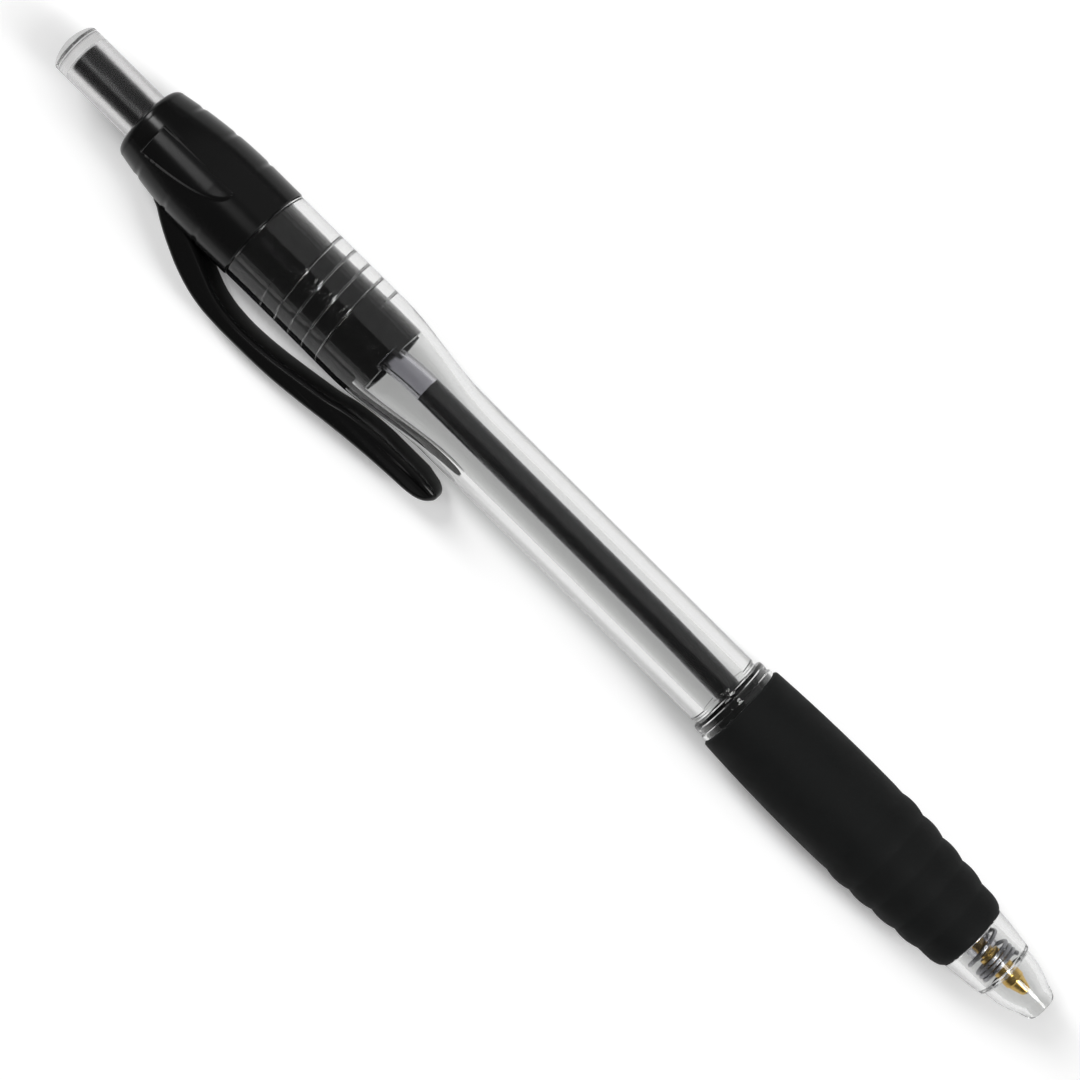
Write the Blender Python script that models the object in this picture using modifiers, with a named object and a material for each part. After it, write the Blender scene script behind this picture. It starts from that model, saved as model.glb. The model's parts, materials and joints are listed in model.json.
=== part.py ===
"""Pushbutton ballpoint pen: clear barrel, rubber grip, collar with a pocket clip, and a click mechanism.

The pen lies as it rests on a table, on its grip and on one edge of its clip, with its nose towards +X.
Each piece is modelled upright along a local Z axis, from the nose end at 0 to the button, and the empty
pen_axis lays that axis down. The origin is on the table, under the middle of the pen's box.
"""

import math

import bmesh
import bpy
from mathutils import Matrix, Vector

MM = 0.001
TAU = 2.0 * math.pi

# Clearances
SEAT_GAP = 0.30 * MM
FIT_GAP = 0.15 * MM
RUN_GAP = 0.20 * MM
EAR_GAP = 0.25 * MM
BUTTON_GAP = 0.27 * MM
PLUNGER_GAP = 0.25 * MM
ROTOR_GAP = 0.35 * MM
BALL_GAP = 0.06 * MM

# Lengths along the pen, from the nose to the button
NOSE_LENGTH = 10.6 * MM
GRIP_LENGTH = 33.9 * MM
RING_LENGTH = 2.5 * MM
WAIST_LENGTH = 40.1 * MM
FLARE_LENGTH = 12.7 * MM
SKIRT_LENGTH = 15.5 * MM
COLLAR_LENGTH = 17.3 * MM
BUTTON_LEFT_OUT = 5.5 * MM

# Refill
TUBE_RADIUS = 1.52 * MM
TUBE_WALL = 0.54 * MM
INK_LENGTH = 78.9 * MM
POINT_RADIUS = 1.18 * MM
POINT_SETBACK = 2.3 * MM
POINT_CONE_LENGTH = 1.55 * MM
POINT_BODY_LENGTH = 4.3 * MM
POINT_SHANK_LENGTH = 4.6 * MM
POINT_CHANNEL_RADIUS = 0.25 * MM
POINT_SOCKET_DEPTH = 0.55 * MM
POINT_LIP_WALL = 0.09 * MM
BALL_RADIUS = 0.35 * MM
BALL_PROJECTION = 0.25 * MM
EAR_WIDTH = 1.3 * MM
EAR_THICKNESS = 0.7 * MM

# Return spring
SPRING_SEAT_DEPTH = 5.5 * MM
SPRING_LENGTH = 21.4 * MM
SPRING_WIRE = 0.42 * MM
SPRING_MEAN_RADIUS = 2.2 * MM
SPRING_ROOM = 0.34 * MM
SPRING_END_PITCH = 0.88 * MM
SPRING_FRONT_COILS = 2.5
SPRING_REAR_COILS = 2.0
SPRING_ACTIVE_COILS = 10.5
POINTS_PER_COIL = 9

# Barrel
NOSE_END_WALL = 0.35 * MM
NOSE_BAND_LENGTH = 1.33 * MM
NOSE_BAND_RISE = 0.47 * MM
NOSE_WALL = 0.45 * MM
NOSE_STEP = 0.34 * MM
NOSE_STEP_LENGTH = 0.2 * MM
NOSE_SHOULDER = 0.42 * MM
GRIP_SEAT_WALL = 0.95 * MM
RING_RADIUS = 5.05 * MM
RING_BEAD_RADIUS = 4.97 * MM
RING_GROOVE = 0.12 * MM
RING_FLANGE_LENGTH = 0.65 * MM
RING_NECK_LENGTH = 0.45 * MM
WAIST_RADIUS = 4.46 * MM
WAIST_WALL = 1.52 * MM
REAR_RADIUS = 5.70 * MM
REAR_WALL = 1.10 * MM
MOUTH_LENGTH = 5.9 * MM
BORE_FLARE_LENGTH = 9.6 * MM

# Rubber grip
GRIP_REAR_RADIUS = 5.38 * MM
GRIP_BELLY_RADIUS = 5.79 * MM
GRIP_BELLY_SHARE = 0.386
RIB_COUNT = 4
RIB_PITCH = 3.16 * MM
RIB_ZONE_FRONT = 2.95 * MM
RIB_HEIGHT = 0.19 * MM
RIB_TAPER = 0.88 * MM
RIB_TAPER_POWER = 1.33
GRIP_REAR_EDGE = 0.3 * MM
GRIP_FRONT_ROUND = 1.5 * MM
GRIP_FRONT_DROP = 0.66 * MM
GRIP_FRONT_POWER = 1.4

# Collar and its threaded guide sleeve
COLLAR_RADIUS = 5.62 * MM
COLLAR_TOP_RADIUS = 4.42 * MM
COLLAR_TOP_FILLET = 0.9 * MM
COLLAR_STRAIGHT = 1.8 * MM
COLLAR_GROOVE_STATIONS = (4.5 * MM, 9.15 * MM, 13.6 * MM)
COLLAR_GROOVE_DEPTH = 0.13 * MM
COLLAR_GROOVE_HALF_WIDTH = 0.4 * MM
HEAD_LENGTH = 7.2 * MM
SLEEVE_LENGTH = 19.4 * MM
SLEEVE_WALL = 0.8 * MM
SLEEVE_NOTCH_DEPTH = 0.6 * MM
SLEEVE_NOTCH_WIDTH = 3.2 * MM
THREAD_PITCH = 2.06 * MM
THREAD_TURNS = 4.0
THREAD_RADIUS = 0.45 * MM
THREAD_GAP = 0.25 * MM
THREAD_SETBACK = 6.5 * MM
BOSS_WIDTH = 4.0 * MM
BOSS_LENGTH = 9.1 * MM
BOSS_STATION = 9.5 * MM
BOSS_HEIGHT = 0.22 * MM
BOSS_FROM_CLIP = math.radians(97.0)

# Click mechanism
STROKE = 6.0 * MM
LATCH_DEPTH = 4.8 * MM
TOOTH_COUNT = 8
TOOTH_HEIGHT = 0.8 * MM
GUIDE_COUNT = 4
GUIDE_WIDTH = 1.4 * MM
GUIDE_HEIGHT = 0.65 * MM
GUIDE_SLOPE = 0.9 * MM
LUG_WIDTH = 1.1 * MM
LUG_LENGTH = 3.5 * MM
LUG_SETBACK = 1.0 * MM
SPLINE_LENGTH = 4.5 * MM
SPLINE_SETBACK = 1.2 * MM
PLUNGER_SKIRT_LENGTH = 14.7 * MM
PLUNGER_FLANGE_LENGTH = 1.0 * MM
PLUNGER_CORE_RADIUS = 1.70 * MM
ROTOR_LENGTH = 8.0 * MM
ROTOR_SOCKET_DEPTH = 6.0 * MM
ROTOR_STUB_RADIUS = 1.3 * MM
ROTOR_STUB_LENGTH = 4.0 * MM

# Push button
BUTTON_RADIUS = 2.93 * MM
BUTTON_END_WALL = 2.0 * MM
BUTTON_FILLET = 0.8 * MM

# Pocket clip
CLIP_WIDTH = 4.6 * MM
CLIP_EDGE = 0.3 * MM
CLIP_CREST = 4.77 * MM
CLIP_STRIP = 1.9 * MM
CLIP_PAD_CLEARANCE = 0.32 * MM
CLIP_ROOT_STATION = 8.8 * MM
CLIP_FACE_STATIONS = (
    0.2 * MM, 2.5 * MM, 5.6 * MM, 8.8 * MM, 14.1 * MM, 23.6 * MM, 32.0 * MM, 39.3 * MM,
)
CLIP_FACE_SHARES = (0.090, 0.350, 0.665, 0.878, 1.0, 0.836, 0.623, 0.530)
CLIP_TIP = 41.6 * MM
CLIP_PAD_TIP = 38.6 * MM
CLIP_PAD_ROOT = 33.4 * MM
CLIP_BACK_STATIONS = (26.0 * MM, 14.1 * MM, 9.8 * MM, 7.0 * MM)
CLIP_BACK_SHARES = (0.723, 1.0, 0.914, 0.671)
CLIP_THROAT = 4.6 * MM
CLIP_THROAT_ROOT = 1.0 * MM
CLIP_THROAT_DROP = 0.25 * MM
CLIP_BEAD_RADIUS = 0.75 * MM
CLIP_BEAD_WIDTH = 3.6 * MM
CLIP_BEAD_SINK = 0.3 * MM

# Mesh fineness
STEPS = 32
FINE_STEPS = 24
WELD = 0.00001

# Stations from the nose end
BUTTON_PROJECTION = STROKE + BUTTON_LEFT_OUT
GRIP_FRONT = NOSE_LENGTH + SEAT_GAP
GRIP_REAR = GRIP_FRONT + GRIP_LENGTH
RING_FRONT = GRIP_REAR + SEAT_GAP
WAIST_FRONT = RING_FRONT + RING_LENGTH
FLARE_FRONT = WAIST_FRONT + WAIST_LENGTH
FLARE_REAR = FLARE_FRONT + FLARE_LENGTH
BARREL_REAR = FLARE_REAR + SKIRT_LENGTH
COLLAR_FRONT = BARREL_REAR + SEAT_GAP
COLLAR_REAR = COLLAR_FRONT + COLLAR_LENGTH
PEN_LENGTH = COLLAR_REAR + BUTTON_PROJECTION
SLEEVE_FRONT = COLLAR_FRONT - SLEEVE_LENGTH
STOP_STATION = COLLAR_REAR - HEAD_LENGTH
FLANGE_REAR = STOP_STATION - SEAT_GAP
FLANGE_FRONT = FLANGE_REAR - PLUNGER_FLANGE_LENGTH
PLUNGER_FRONT = FLANGE_FRONT - PLUNGER_SKIRT_LENGTH
ROTOR_REAR = PLUNGER_FRONT - SEAT_GAP
ROTOR_FRONT = ROTOR_REAR - ROTOR_LENGTH
SOCKET_END = ROTOR_FRONT + ROTOR_SOCKET_DEPTH
TUBE_REAR = SOCKET_END - SEAT_GAP
LUG_REAR = ROTOR_REAR - LUG_SETBACK
GUIDE_FRONT = LUG_REAR - LATCH_DEPTH
CLIP_ROOT = COLLAR_FRONT + CLIP_ROOT_STATION
BALL_CENTRE = POINT_SETBACK + BALL_RADIUS
POINT_LIP = POINT_SETBACK + BALL_PROJECTION
POINT_CONE_REAR = POINT_LIP + POINT_CONE_LENGTH
POINT_BODY_REAR = POINT_CONE_REAR + POINT_BODY_LENGTH
POINT_SHANK_REAR = POINT_BODY_REAR + POINT_SHANK_LENGTH
TUBE_FRONT = POINT_BODY_REAR + SEAT_GAP
INK_FRONT = POINT_SHANK_REAR + SEAT_GAP
SPRING_FRONT = SPRING_SEAT_DEPTH + SEAT_GAP
SPRING_REAR = SPRING_FRONT + SPRING_LENGTH
EAR_FRONT = SPRING_REAR + SEAT_GAP
TIP_HOLE_REAR = TUBE_FRONT - STROKE - SEAT_GAP

# Radii that follow from what each piece holds
TUBE_BORE = TUBE_RADIUS - TUBE_WALL
TIP_HOLE = POINT_RADIUS + FIT_GAP
REFILL_BORE = TUBE_RADIUS + FIT_GAP
NOSE_END_RADIUS = TIP_HOLE + NOSE_END_WALL
SPRING_OUTER = SPRING_MEAN_RADIUS + 0.5 * SPRING_WIRE
SPRING_BORE = SPRING_OUTER + SPRING_ROOM
EAR_REACH = SPRING_BORE - EAR_GAP
NOSE_FRONT_RADIUS = SPRING_BORE + NOSE_WALL
NOSE_STEP_RADIUS = NOSE_FRONT_RADIUS + NOSE_STEP
GRIP_SEAT = SPRING_BORE + GRIP_SEAT_WALL
NOSE_REAR_RADIUS = GRIP_SEAT + NOSE_SHOULDER
GRIP_BORE = GRIP_SEAT + SEAT_GAP
WAIST_BORE = WAIST_RADIUS - WAIST_WALL
REAR_BORE = REAR_RADIUS - REAR_WALL
SLEEVE_RADIUS = REAR_BORE - SEAT_GAP
SLEEVE_BORE = SLEEVE_RADIUS - SLEEVE_WALL
MOUTH_BORE = SLEEVE_RADIUS + THREAD_RADIUS + SEAT_GAP
BUTTON_HOLE = BUTTON_RADIUS + BUTTON_GAP
BUTTON_BORE = PLUNGER_CORE_RADIUS + RUN_GAP
FLANGE_RADIUS = SLEEVE_BORE - RUN_GAP
GUIDE_INNER = SLEEVE_BORE - GUIDE_HEIGHT
PLUNGER_RADIUS = GUIDE_INNER - PLUNGER_GAP
ROTOR_RADIUS = GUIDE_INNER - ROTOR_GAP
PLUNGER_BORE = ROTOR_STUB_RADIUS + SEAT_GAP
ROTOR_BORE = TUBE_RADIUS + FIT_GAP
SOCKET_RADIUS = BALL_RADIUS + BALL_GAP
SHANK_RADIUS = TUBE_BORE - FIT_GAP


def smooth_step(t):
    """Rise from 0 to 1 with level ends."""
    return t * t * (3.0 - 2.0 * t)


def s_curve(start, end, count):
    """Points of an S-shaped run between two (radius, station) points."""
    shares = [i / count for i in range(count + 1)]
    return [
        (start[0] + (end[0] - start[0]) * smooth_step(t), start[1] + (end[1] - start[1]) * t)
        for t in shares
    ]


def corner(centre, radius, start, end, count):
    """Points of a round corner about (radius, station), between two angles in degrees."""
    angles = [math.radians(start + (end - start) * i / count) for i in range(count + 1)]
    return [(centre[0] + radius * math.cos(a), centre[1] + radius * math.sin(a)) for a in angles]


def clear_scene():
    """Remove every object that the file starts with."""
    for obj in list(bpy.data.objects):
        bpy.data.objects.remove(obj, do_unlink=True)


def make_collection(name):
    """A collection of its own in the scene."""
    collection = bpy.data.collections.new(name)
    bpy.context.scene.collection.children.link(collection)
    return collection


def make_material(name, colour, roughness, metallic=0.0, transmission=0.0):
    """A Principled material for one piece."""
    material = bpy.data.materials.new(name)
    material.use_nodes = True
    shader = material.node_tree.nodes["Principled BSDF"]
    shader.inputs["Base Color"].default_value = (*colour, 1.0)
    shader.inputs["Roughness"].default_value = roughness
    shader.inputs["Metallic"].default_value = metallic
    shader.inputs["Transmission Weight"].default_value = transmission
    return material


class Bench:
    """The collections and the axis that every piece is made on."""

    def __init__(self):
        self.parts = make_collection("ballpoint_pen")
        self.tools = make_collection("cutters")
        self.axis = bpy.data.objects.new("pen_axis", None)
        self.parts.objects.link(self.axis)

    def part(self, name, data, material):
        """Place a piece on the pen axis."""
        obj = bpy.data.objects.new(name, data)
        self.parts.objects.link(obj)
        obj.parent = self.axis
        obj.data.materials.append(material)
        return obj

    def tool(self, name, data):
        """Place a cutter, or a shape to be joined to a piece, on the pen axis."""
        obj = bpy.data.objects.new(name, data)
        self.tools.objects.link(obj)
        obj.parent = self.axis
        obj.hide_render = True
        obj.display_type = "WIRE"
        return obj


def outline_mesh(name, outline):
    """An edge chain of (radius, station) points, closed unless it starts on the axis."""
    mesh = bpy.data.meshes.new(name)
    points = [(radius, 0.0, station) for radius, station in outline]
    edges = [(i, i + 1) for i in range(len(points) - 1)]
    if outline[0][0] > 0.0:
        edges.append((len(points) - 1, 0))
    mesh.from_pydata(points, edges, [])
    return mesh


def turn(obj, steps):
    """Turn an outline about the pen axis."""
    screw = obj.modifiers.new("turn", "SCREW")
    screw.axis = "Z"
    screw.steps = steps
    screw.render_steps = steps
    screw.use_merge_vertices = True
    screw.merge_threshold = WELD
    screw.use_smooth_shade = True


def combine(target, tool, operation):
    """Cut a tool from a piece, or join it to the piece."""
    boolean = target.modifiers.new(tool.name, "BOOLEAN")
    boolean.object = tool
    boolean.operation = operation
    boolean.solver = "EXACT"


def solid_mesh(obj):
    """The evaluated shape of an object as one welded mesh."""
    bpy.context.view_layer.update()
    evaluated = obj.evaluated_get(bpy.context.evaluated_depsgraph_get())
    mesh = bpy.data.meshes.new_from_object(evaluated)
    shape = bmesh.new()
    shape.from_mesh(mesh)
    bmesh.ops.remove_doubles(shape, verts=shape.verts, dist=WELD)
    bmesh.ops.recalc_face_normals(shape, faces=shape.faces)
    shape.to_mesh(mesh)
    shape.free()
    return mesh


def wire_curve(name, points, radius):
    """A round wire along points, with closed ends."""
    curve = bpy.data.curves.new(name, "CURVE")
    curve.dimensions = "3D"
    curve.bevel_depth = radius
    curve.bevel_resolution = 1
    curve.use_fill_caps = True
    spline = curve.splines.new("POLY")
    spline.points.add(len(points) - 1)
    for place, point in zip(spline.points, points):
        place.co = (*point, 1.0)
    return curve


def helix_point(radius, angle, station):
    """A point on a helix round the pen axis."""
    return Vector((radius * math.cos(angle), radius * math.sin(angle), station))


def ring_of_blocks(name, count, inner, outer, width, front, rear, slope=0.0, slope_front=True):
    """Blocks set radially round the axis, with one end that slopes across its width."""
    shape = bmesh.new()
    for k in range(count):
        block = bmesh.ops.create_cube(shape, size=1.0)["verts"]
        for vert in block:
            at_rear = vert.co.z > 0.0
            station = rear if at_rear else front
            if at_rear != slope_front:
                station += slope * (vert.co.y - 0.5 if at_rear else vert.co.y + 0.5)
            reach = inner + (outer - inner) * (vert.co.x + 0.5)
            vert.co = (reach, width * vert.co.y, station)
        turn_by = Matrix.Rotation(TAU * k / count, 3, "Z")
        bmesh.ops.rotate(shape, verts=block, cent=(0.0, 0.0, 0.0), matrix=turn_by)
    mesh = bpy.data.meshes.new(name)
    shape.to_mesh(mesh)
    shape.free()
    return mesh


def cut_crown(mesh, station, depth):
    """Raise and lower an end face in teeth round the axis: depth is how far the valleys go back."""
    for vert in mesh.vertices:
        if abs(vert.co.z - station) < WELD:
            phase = (math.atan2(vert.co.y, vert.co.x) * TOOTH_COUNT / TAU) % 1.0
            vert.co.z += depth * (1.0 - abs(2.0 * phase - 1.0))


def grip_outline():
    """The rubber sleeve: a belly, scale-like ribs towards the nose and a rounded front edge."""
    belly = GRIP_REAR - GRIP_BELLY_SHARE * GRIP_LENGTH
    rib_rear = GRIP_FRONT + RIB_ZONE_FRONT + RIB_COUNT * RIB_PITCH
    drop = GRIP_BELLY_RADIUS - GRIP_REAR_RADIUS

    def belly_radius(station):
        share = (station - belly) / (GRIP_REAR - belly)
        return GRIP_BELLY_RADIUS - drop * share * share

    def valley_radius(k):
        return belly_radius(rib_rear) - RIB_TAPER * (k / RIB_COUNT) ** RIB_TAPER_POWER

    edge = GRIP_REAR_EDGE
    rear_count = 7
    points = [(GRIP_BORE, GRIP_REAR), (GRIP_REAR_RADIUS - edge, GRIP_REAR)]
    for i in range(rear_count):
        station = GRIP_REAR - edge - (GRIP_REAR - edge - rib_rear) * i / rear_count
        points.append((belly_radius(station), station))
    rib_steps = 4
    for k in range(RIB_COUNT):
        for i in range(rib_steps):
            t = i / rib_steps
            chord = valley_radius(k) + (valley_radius(k + 1) - valley_radius(k)) * t
            points.append((chord + RIB_HEIGHT * 4.0 * t * (1.0 - t), rib_rear - (k + t) * RIB_PITCH))
    last = valley_radius(RIB_COUNT)
    points.append((last, GRIP_FRONT + RIB_ZONE_FRONT))
    round_count = 4
    for i in range(round_count + 1):
        t = i / round_count
        radius = last - GRIP_FRONT_DROP * t ** GRIP_FRONT_POWER
        points.append((radius, GRIP_FRONT + GRIP_FRONT_ROUND * (1.0 - t)))
    points.append((GRIP_BORE, GRIP_FRONT))
    return points


def barrel_outline():
    """The clear barrel: down the outside from the thread mouth to the nose, and back up the bore."""
    bead_front = RING_FRONT + RING_FLANGE_LENGTH + RING_GROOVE
    bead_rear = WAIST_FRONT - RING_NECK_LENGTH
    bead_middle = 0.5 * (bead_front + bead_rear)
    outside = [(REAR_RADIUS, BARREL_REAR)]
    outside += s_curve((REAR_RADIUS, FLARE_REAR), (WAIST_RADIUS, FLARE_FRONT), 8)
    outside += [
        (WAIST_RADIUS, WAIST_FRONT),
        (WAIST_RADIUS - RING_GROOVE, bead_rear + RING_GROOVE),
        (WAIST_RADIUS - RING_GROOVE, bead_rear),
        (RING_BEAD_RADIUS - RING_GROOVE, bead_rear - RING_GROOVE),
        (RING_BEAD_RADIUS, bead_middle),
        (RING_BEAD_RADIUS - RING_GROOVE, bead_front),
        (RING_RADIUS, RING_FRONT + RING_FLANGE_LENGTH),
        (RING_RADIUS, RING_FRONT),
        (GRIP_SEAT, RING_FRONT),
        (GRIP_SEAT, NOSE_LENGTH),
        (NOSE_REAR_RADIUS, NOSE_LENGTH),
        (NOSE_STEP_RADIUS, SPRING_SEAT_DEPTH + NOSE_STEP_LENGTH),
    ]
    band_radius = NOSE_END_RADIUS + NOSE_BAND_RISE
    ogive_count = 4
    for i in range(ogive_count + 1):
        t = i / ogive_count
        station = SPRING_SEAT_DEPTH + (NOSE_BAND_LENGTH - SPRING_SEAT_DEPTH) * t
        outside.append((NOSE_FRONT_RADIUS + (band_radius - NOSE_FRONT_RADIUS) * t * t, station))
    outside.append((NOSE_END_RADIUS, 0.0))
    bore = [
        (TIP_HOLE, 0.0),
        (TIP_HOLE, TIP_HOLE_REAR),
        (REFILL_BORE, TIP_HOLE_REAR),
        (REFILL_BORE, SPRING_SEAT_DEPTH),
        (SPRING_BORE, SPRING_SEAT_DEPTH),
        (SPRING_BORE, RING_FRONT),
        (WAIST_BORE, WAIST_FRONT),
    ]
    bore_flare_rear = SLEEVE_FRONT - 2.0 * SEAT_GAP
    bore += s_curve(
        (WAIST_BORE, bore_flare_rear - BORE_FLARE_LENGTH), (REAR_BORE, bore_flare_rear), 6
    )
    mouth_step = MOUTH_BORE - REAR_BORE
    bore += [
        (REAR_BORE, BARREL_REAR - MOUTH_LENGTH - mouth_step),
        (MOUTH_BORE, BARREL_REAR - MOUTH_LENGTH),
        (MOUTH_BORE, BARREL_REAR),
    ]
    return outside + bore


def collar_radius(station):
    """The collar's outer radius: straight at the joint, then drawn in towards the button."""
    rise_from = COLLAR_FRONT + COLLAR_STRAIGHT
    rise_to = COLLAR_REAR - COLLAR_TOP_FILLET
    share = max(0.0, (station - rise_from) / (rise_to - rise_from))
    return COLLAR_RADIUS - (COLLAR_RADIUS - COLLAR_TOP_RADIUS) * share * share


def collar_outline():
    """The collar's outside with its three grooves, its guide sleeve and its stepped bore."""
    fillet = (COLLAR_TOP_RADIUS - COLLAR_TOP_FILLET, COLLAR_REAR - COLLAR_TOP_FILLET)
    outside = corner(fillet, COLLAR_TOP_FILLET, 90.0, 0.0, 4)
    for offset in reversed(COLLAR_GROOVE_STATIONS):
        groove = COLLAR_FRONT + offset
        lip_rear = groove + COLLAR_GROOVE_HALF_WIDTH
        lip_front = groove - COLLAR_GROOVE_HALF_WIDTH
        outside += [
            (collar_radius(lip_rear), lip_rear),
            (collar_radius(groove) - COLLAR_GROOVE_DEPTH, groove),
            (collar_radius(lip_front), lip_front),
        ]
    outside += [
        (COLLAR_RADIUS, COLLAR_FRONT + COLLAR_STRAIGHT),
        (COLLAR_RADIUS, COLLAR_FRONT),
        (SLEEVE_RADIUS, COLLAR_FRONT),
        (SLEEVE_RADIUS, SLEEVE_FRONT),
    ]
    bore = [
        (SLEEVE_BORE, SLEEVE_FRONT),
        (SLEEVE_BORE, STOP_STATION),
        (BUTTON_HOLE, STOP_STATION),
        (BUTTON_HOLE, COLLAR_REAR),
    ]
    return outside + bore


def thread_mesh(bench, name, radius):
    """The thread's round ridge, as a solid that is joined to the sleeve or cut from the barrel."""
    rear = COLLAR_FRONT - THREAD_SETBACK
    count = round(THREAD_TURNS * FINE_STEPS)
    points = []
    for i in range(count + 1):
        turns = i / FINE_STEPS
        station = rear - THREAD_PITCH * (THREAD_TURNS - turns)
        points.append(helix_point(SLEEVE_RADIUS, TAU * turns, station))
    guide = bench.tool(name + "_path", wire_curve(name, points, radius))
    mesh = solid_mesh(guide)
    bpy.data.objects.remove(guide, do_unlink=True)
    return mesh


def boss_tool(bench, clip_azimuth):
    """A plain raised tongue that follows the collar's surface."""
    half = 0.5 * BOSS_WIDTH
    rooting = COLLAR_RADIUS - SLEEVE_BORE - 0.5 * SLEEVE_WALL
    shape = bmesh.new()
    bmesh.ops.create_cone(
        shape, cap_ends=True, segments=16, radius1=half, radius2=half, depth=2.0 * rooting
    )
    stretch = BOSS_LENGTH - BOSS_WIDTH
    for vert in shape.verts:
        along = vert.co.y + (0.5 * stretch if vert.co.y > 0.0 else -0.5 * stretch)
        vert.co = (vert.co.z + COLLAR_RADIUS, vert.co.x, along + COLLAR_FRONT + BOSS_STATION)
    bmesh.ops.recalc_face_normals(shape, faces=shape.faces)
    mesh = bpy.data.meshes.new("boss")
    shape.to_mesh(mesh)
    shape.free()
    boss = bench.tool("boss", mesh)
    boss.rotation_euler.z = clip_azimuth + BOSS_FROM_CLIP
    skin_count = 8
    skin_front = COLLAR_FRONT + BOSS_STATION - BOSS_LENGTH
    skin_rear = COLLAR_FRONT + BOSS_STATION + BOSS_LENGTH
    stations = [skin_rear + (skin_front - skin_rear) * i / skin_count for i in range(skin_count + 1)]
    skin = [(0.0, skin_rear)]
    skin += [(collar_radius(station) + BOSS_HEIGHT, station) for station in stations]
    skin.append((0.0, skin_front))
    skin_tool = bench.tool("boss_skin", outline_mesh("boss_skin", skin))
    turn(skin_tool, 2 * STEPS)
    combine(boss, skin_tool, "INTERSECT")
    return boss


def clip_frame(clip_azimuth):
    """Turn a drawing (along the pen, away from the pen, across) to the clip's side of the pen."""
    along = Vector((0.0, 0.0, 1.0))
    away = Vector((math.cos(clip_azimuth), math.sin(clip_azimuth), 0.0))
    return Matrix((along, away, along.cross(away))).transposed()


def clip_bead_height():
    """How far the clip's root bead lies from the pen axis."""
    return collar_radius(CLIP_ROOT) - CLIP_BEAD_SINK


def clip_drawing():
    """Side view of the clip as (distance in front of the root, height above the barrel, is straight).

    The strip's outer face runs from the root over the crest to the tip, and its inner face back
    along the pad that faces the barrel.
    """
    bead = clip_bead_height() - REAR_RADIUS
    points = [
        (0.3 * CLIP_BEAD_RADIUS, bead - 0.2 * CLIP_BEAD_RADIUS, False),
        (-0.6 * CLIP_BEAD_RADIUS, bead + 0.5 * CLIP_BEAD_RADIUS, False),
    ]
    points += [
        (front, share * CLIP_CREST, False)
        for front, share in zip(CLIP_FACE_STATIONS, CLIP_FACE_SHARES)
    ]
    pad = CLIP_PAD_CLEARANCE
    tip_height = CLIP_FACE_SHARES[-1] * CLIP_CREST
    points += [
        (CLIP_TIP, 0.5 * (tip_height + pad), False),
        (CLIP_PAD_TIP, pad, True),
        (CLIP_PAD_ROOT, pad, True),
    ]
    points += [
        (front, share * CLIP_CREST - CLIP_STRIP, False)
        for front, share in zip(CLIP_BACK_STATIONS, CLIP_BACK_SHARES)
    ]
    collar_gap = COLLAR_RADIUS + SEAT_GAP - REAR_RADIUS
    points += [
        (CLIP_THROAT, collar_gap, False),
        (CLIP_THROAT_ROOT, collar_gap - CLIP_THROAT_DROP, False),
    ]
    return points


def resting_roll(axis_height):
    """How far the clip hangs below level when its edge and the grip both touch the table."""
    reach = REAR_RADIUS + CLIP_CREST - CLIP_EDGE
    half = 0.5 * CLIP_WIDTH - CLIP_EDGE
    return math.asin((axis_height - CLIP_EDGE) / math.hypot(reach, half)) - math.atan2(half, reach)


def spring_points():
    """The spring's wire: close end coils, open coils between, and a short straight foot at each end."""
    front = SPRING_FRONT + SPRING_WIRE
    rear = SPRING_REAR - SPRING_WIRE
    coils = SPRING_FRONT_COILS + SPRING_ACTIVE_COILS + SPRING_REAR_COILS
    ends = SPRING_END_PITCH * (SPRING_FRONT_COILS + SPRING_REAR_COILS)
    open_pitch = (rear - front - ends) / SPRING_ACTIVE_COILS
    count = round(coils * POINTS_PER_COIL)
    points = []
    for i in range(count + 1):
        turns = coils * i / count
        closed_front = min(turns, SPRING_FRONT_COILS)
        closed_rear = max(0.0, turns - SPRING_FRONT_COILS - SPRING_ACTIVE_COILS)
        opened = turns - closed_front - closed_rear
        station = front + SPRING_END_PITCH * (closed_front + closed_rear) + open_pitch * opened
        points.append(helix_point(SPRING_MEAN_RADIUS, TAU * turns, station))
    foot = Vector((0.0, 0.0, SPRING_WIRE))
    return [points[0] - foot] + points + [points[-1] + foot]


def least_gap(points, diameter):
    """The least clear gap between parts of a wound wire that are half a turn or more apart."""
    skip = POINTS_PER_COIL // 2
    return min(
        (points[i] - points[j]).length - diameter
        for i in range(len(points))
        for j in range(i + skip, len(points))
    )


def build_barrel(bench, material):
    """Clear barrel with its nose, grip seat, stop ring and threaded rear end."""
    barrel = bench.part("barrel", outline_mesh("barrel", barrel_outline()), material)
    turn(barrel, STEPS)
    groove = bench.tool("thread_groove", thread_mesh(bench, "thread_groove", THREAD_RADIUS + THREAD_GAP))
    combine(barrel, groove, "DIFFERENCE")


def build_grip(bench, material):
    """Ribbed rubber sleeve."""
    grip = bench.part("grip_sleeve", outline_mesh("grip_sleeve", grip_outline()), material)
    turn(grip, STEPS)


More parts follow.
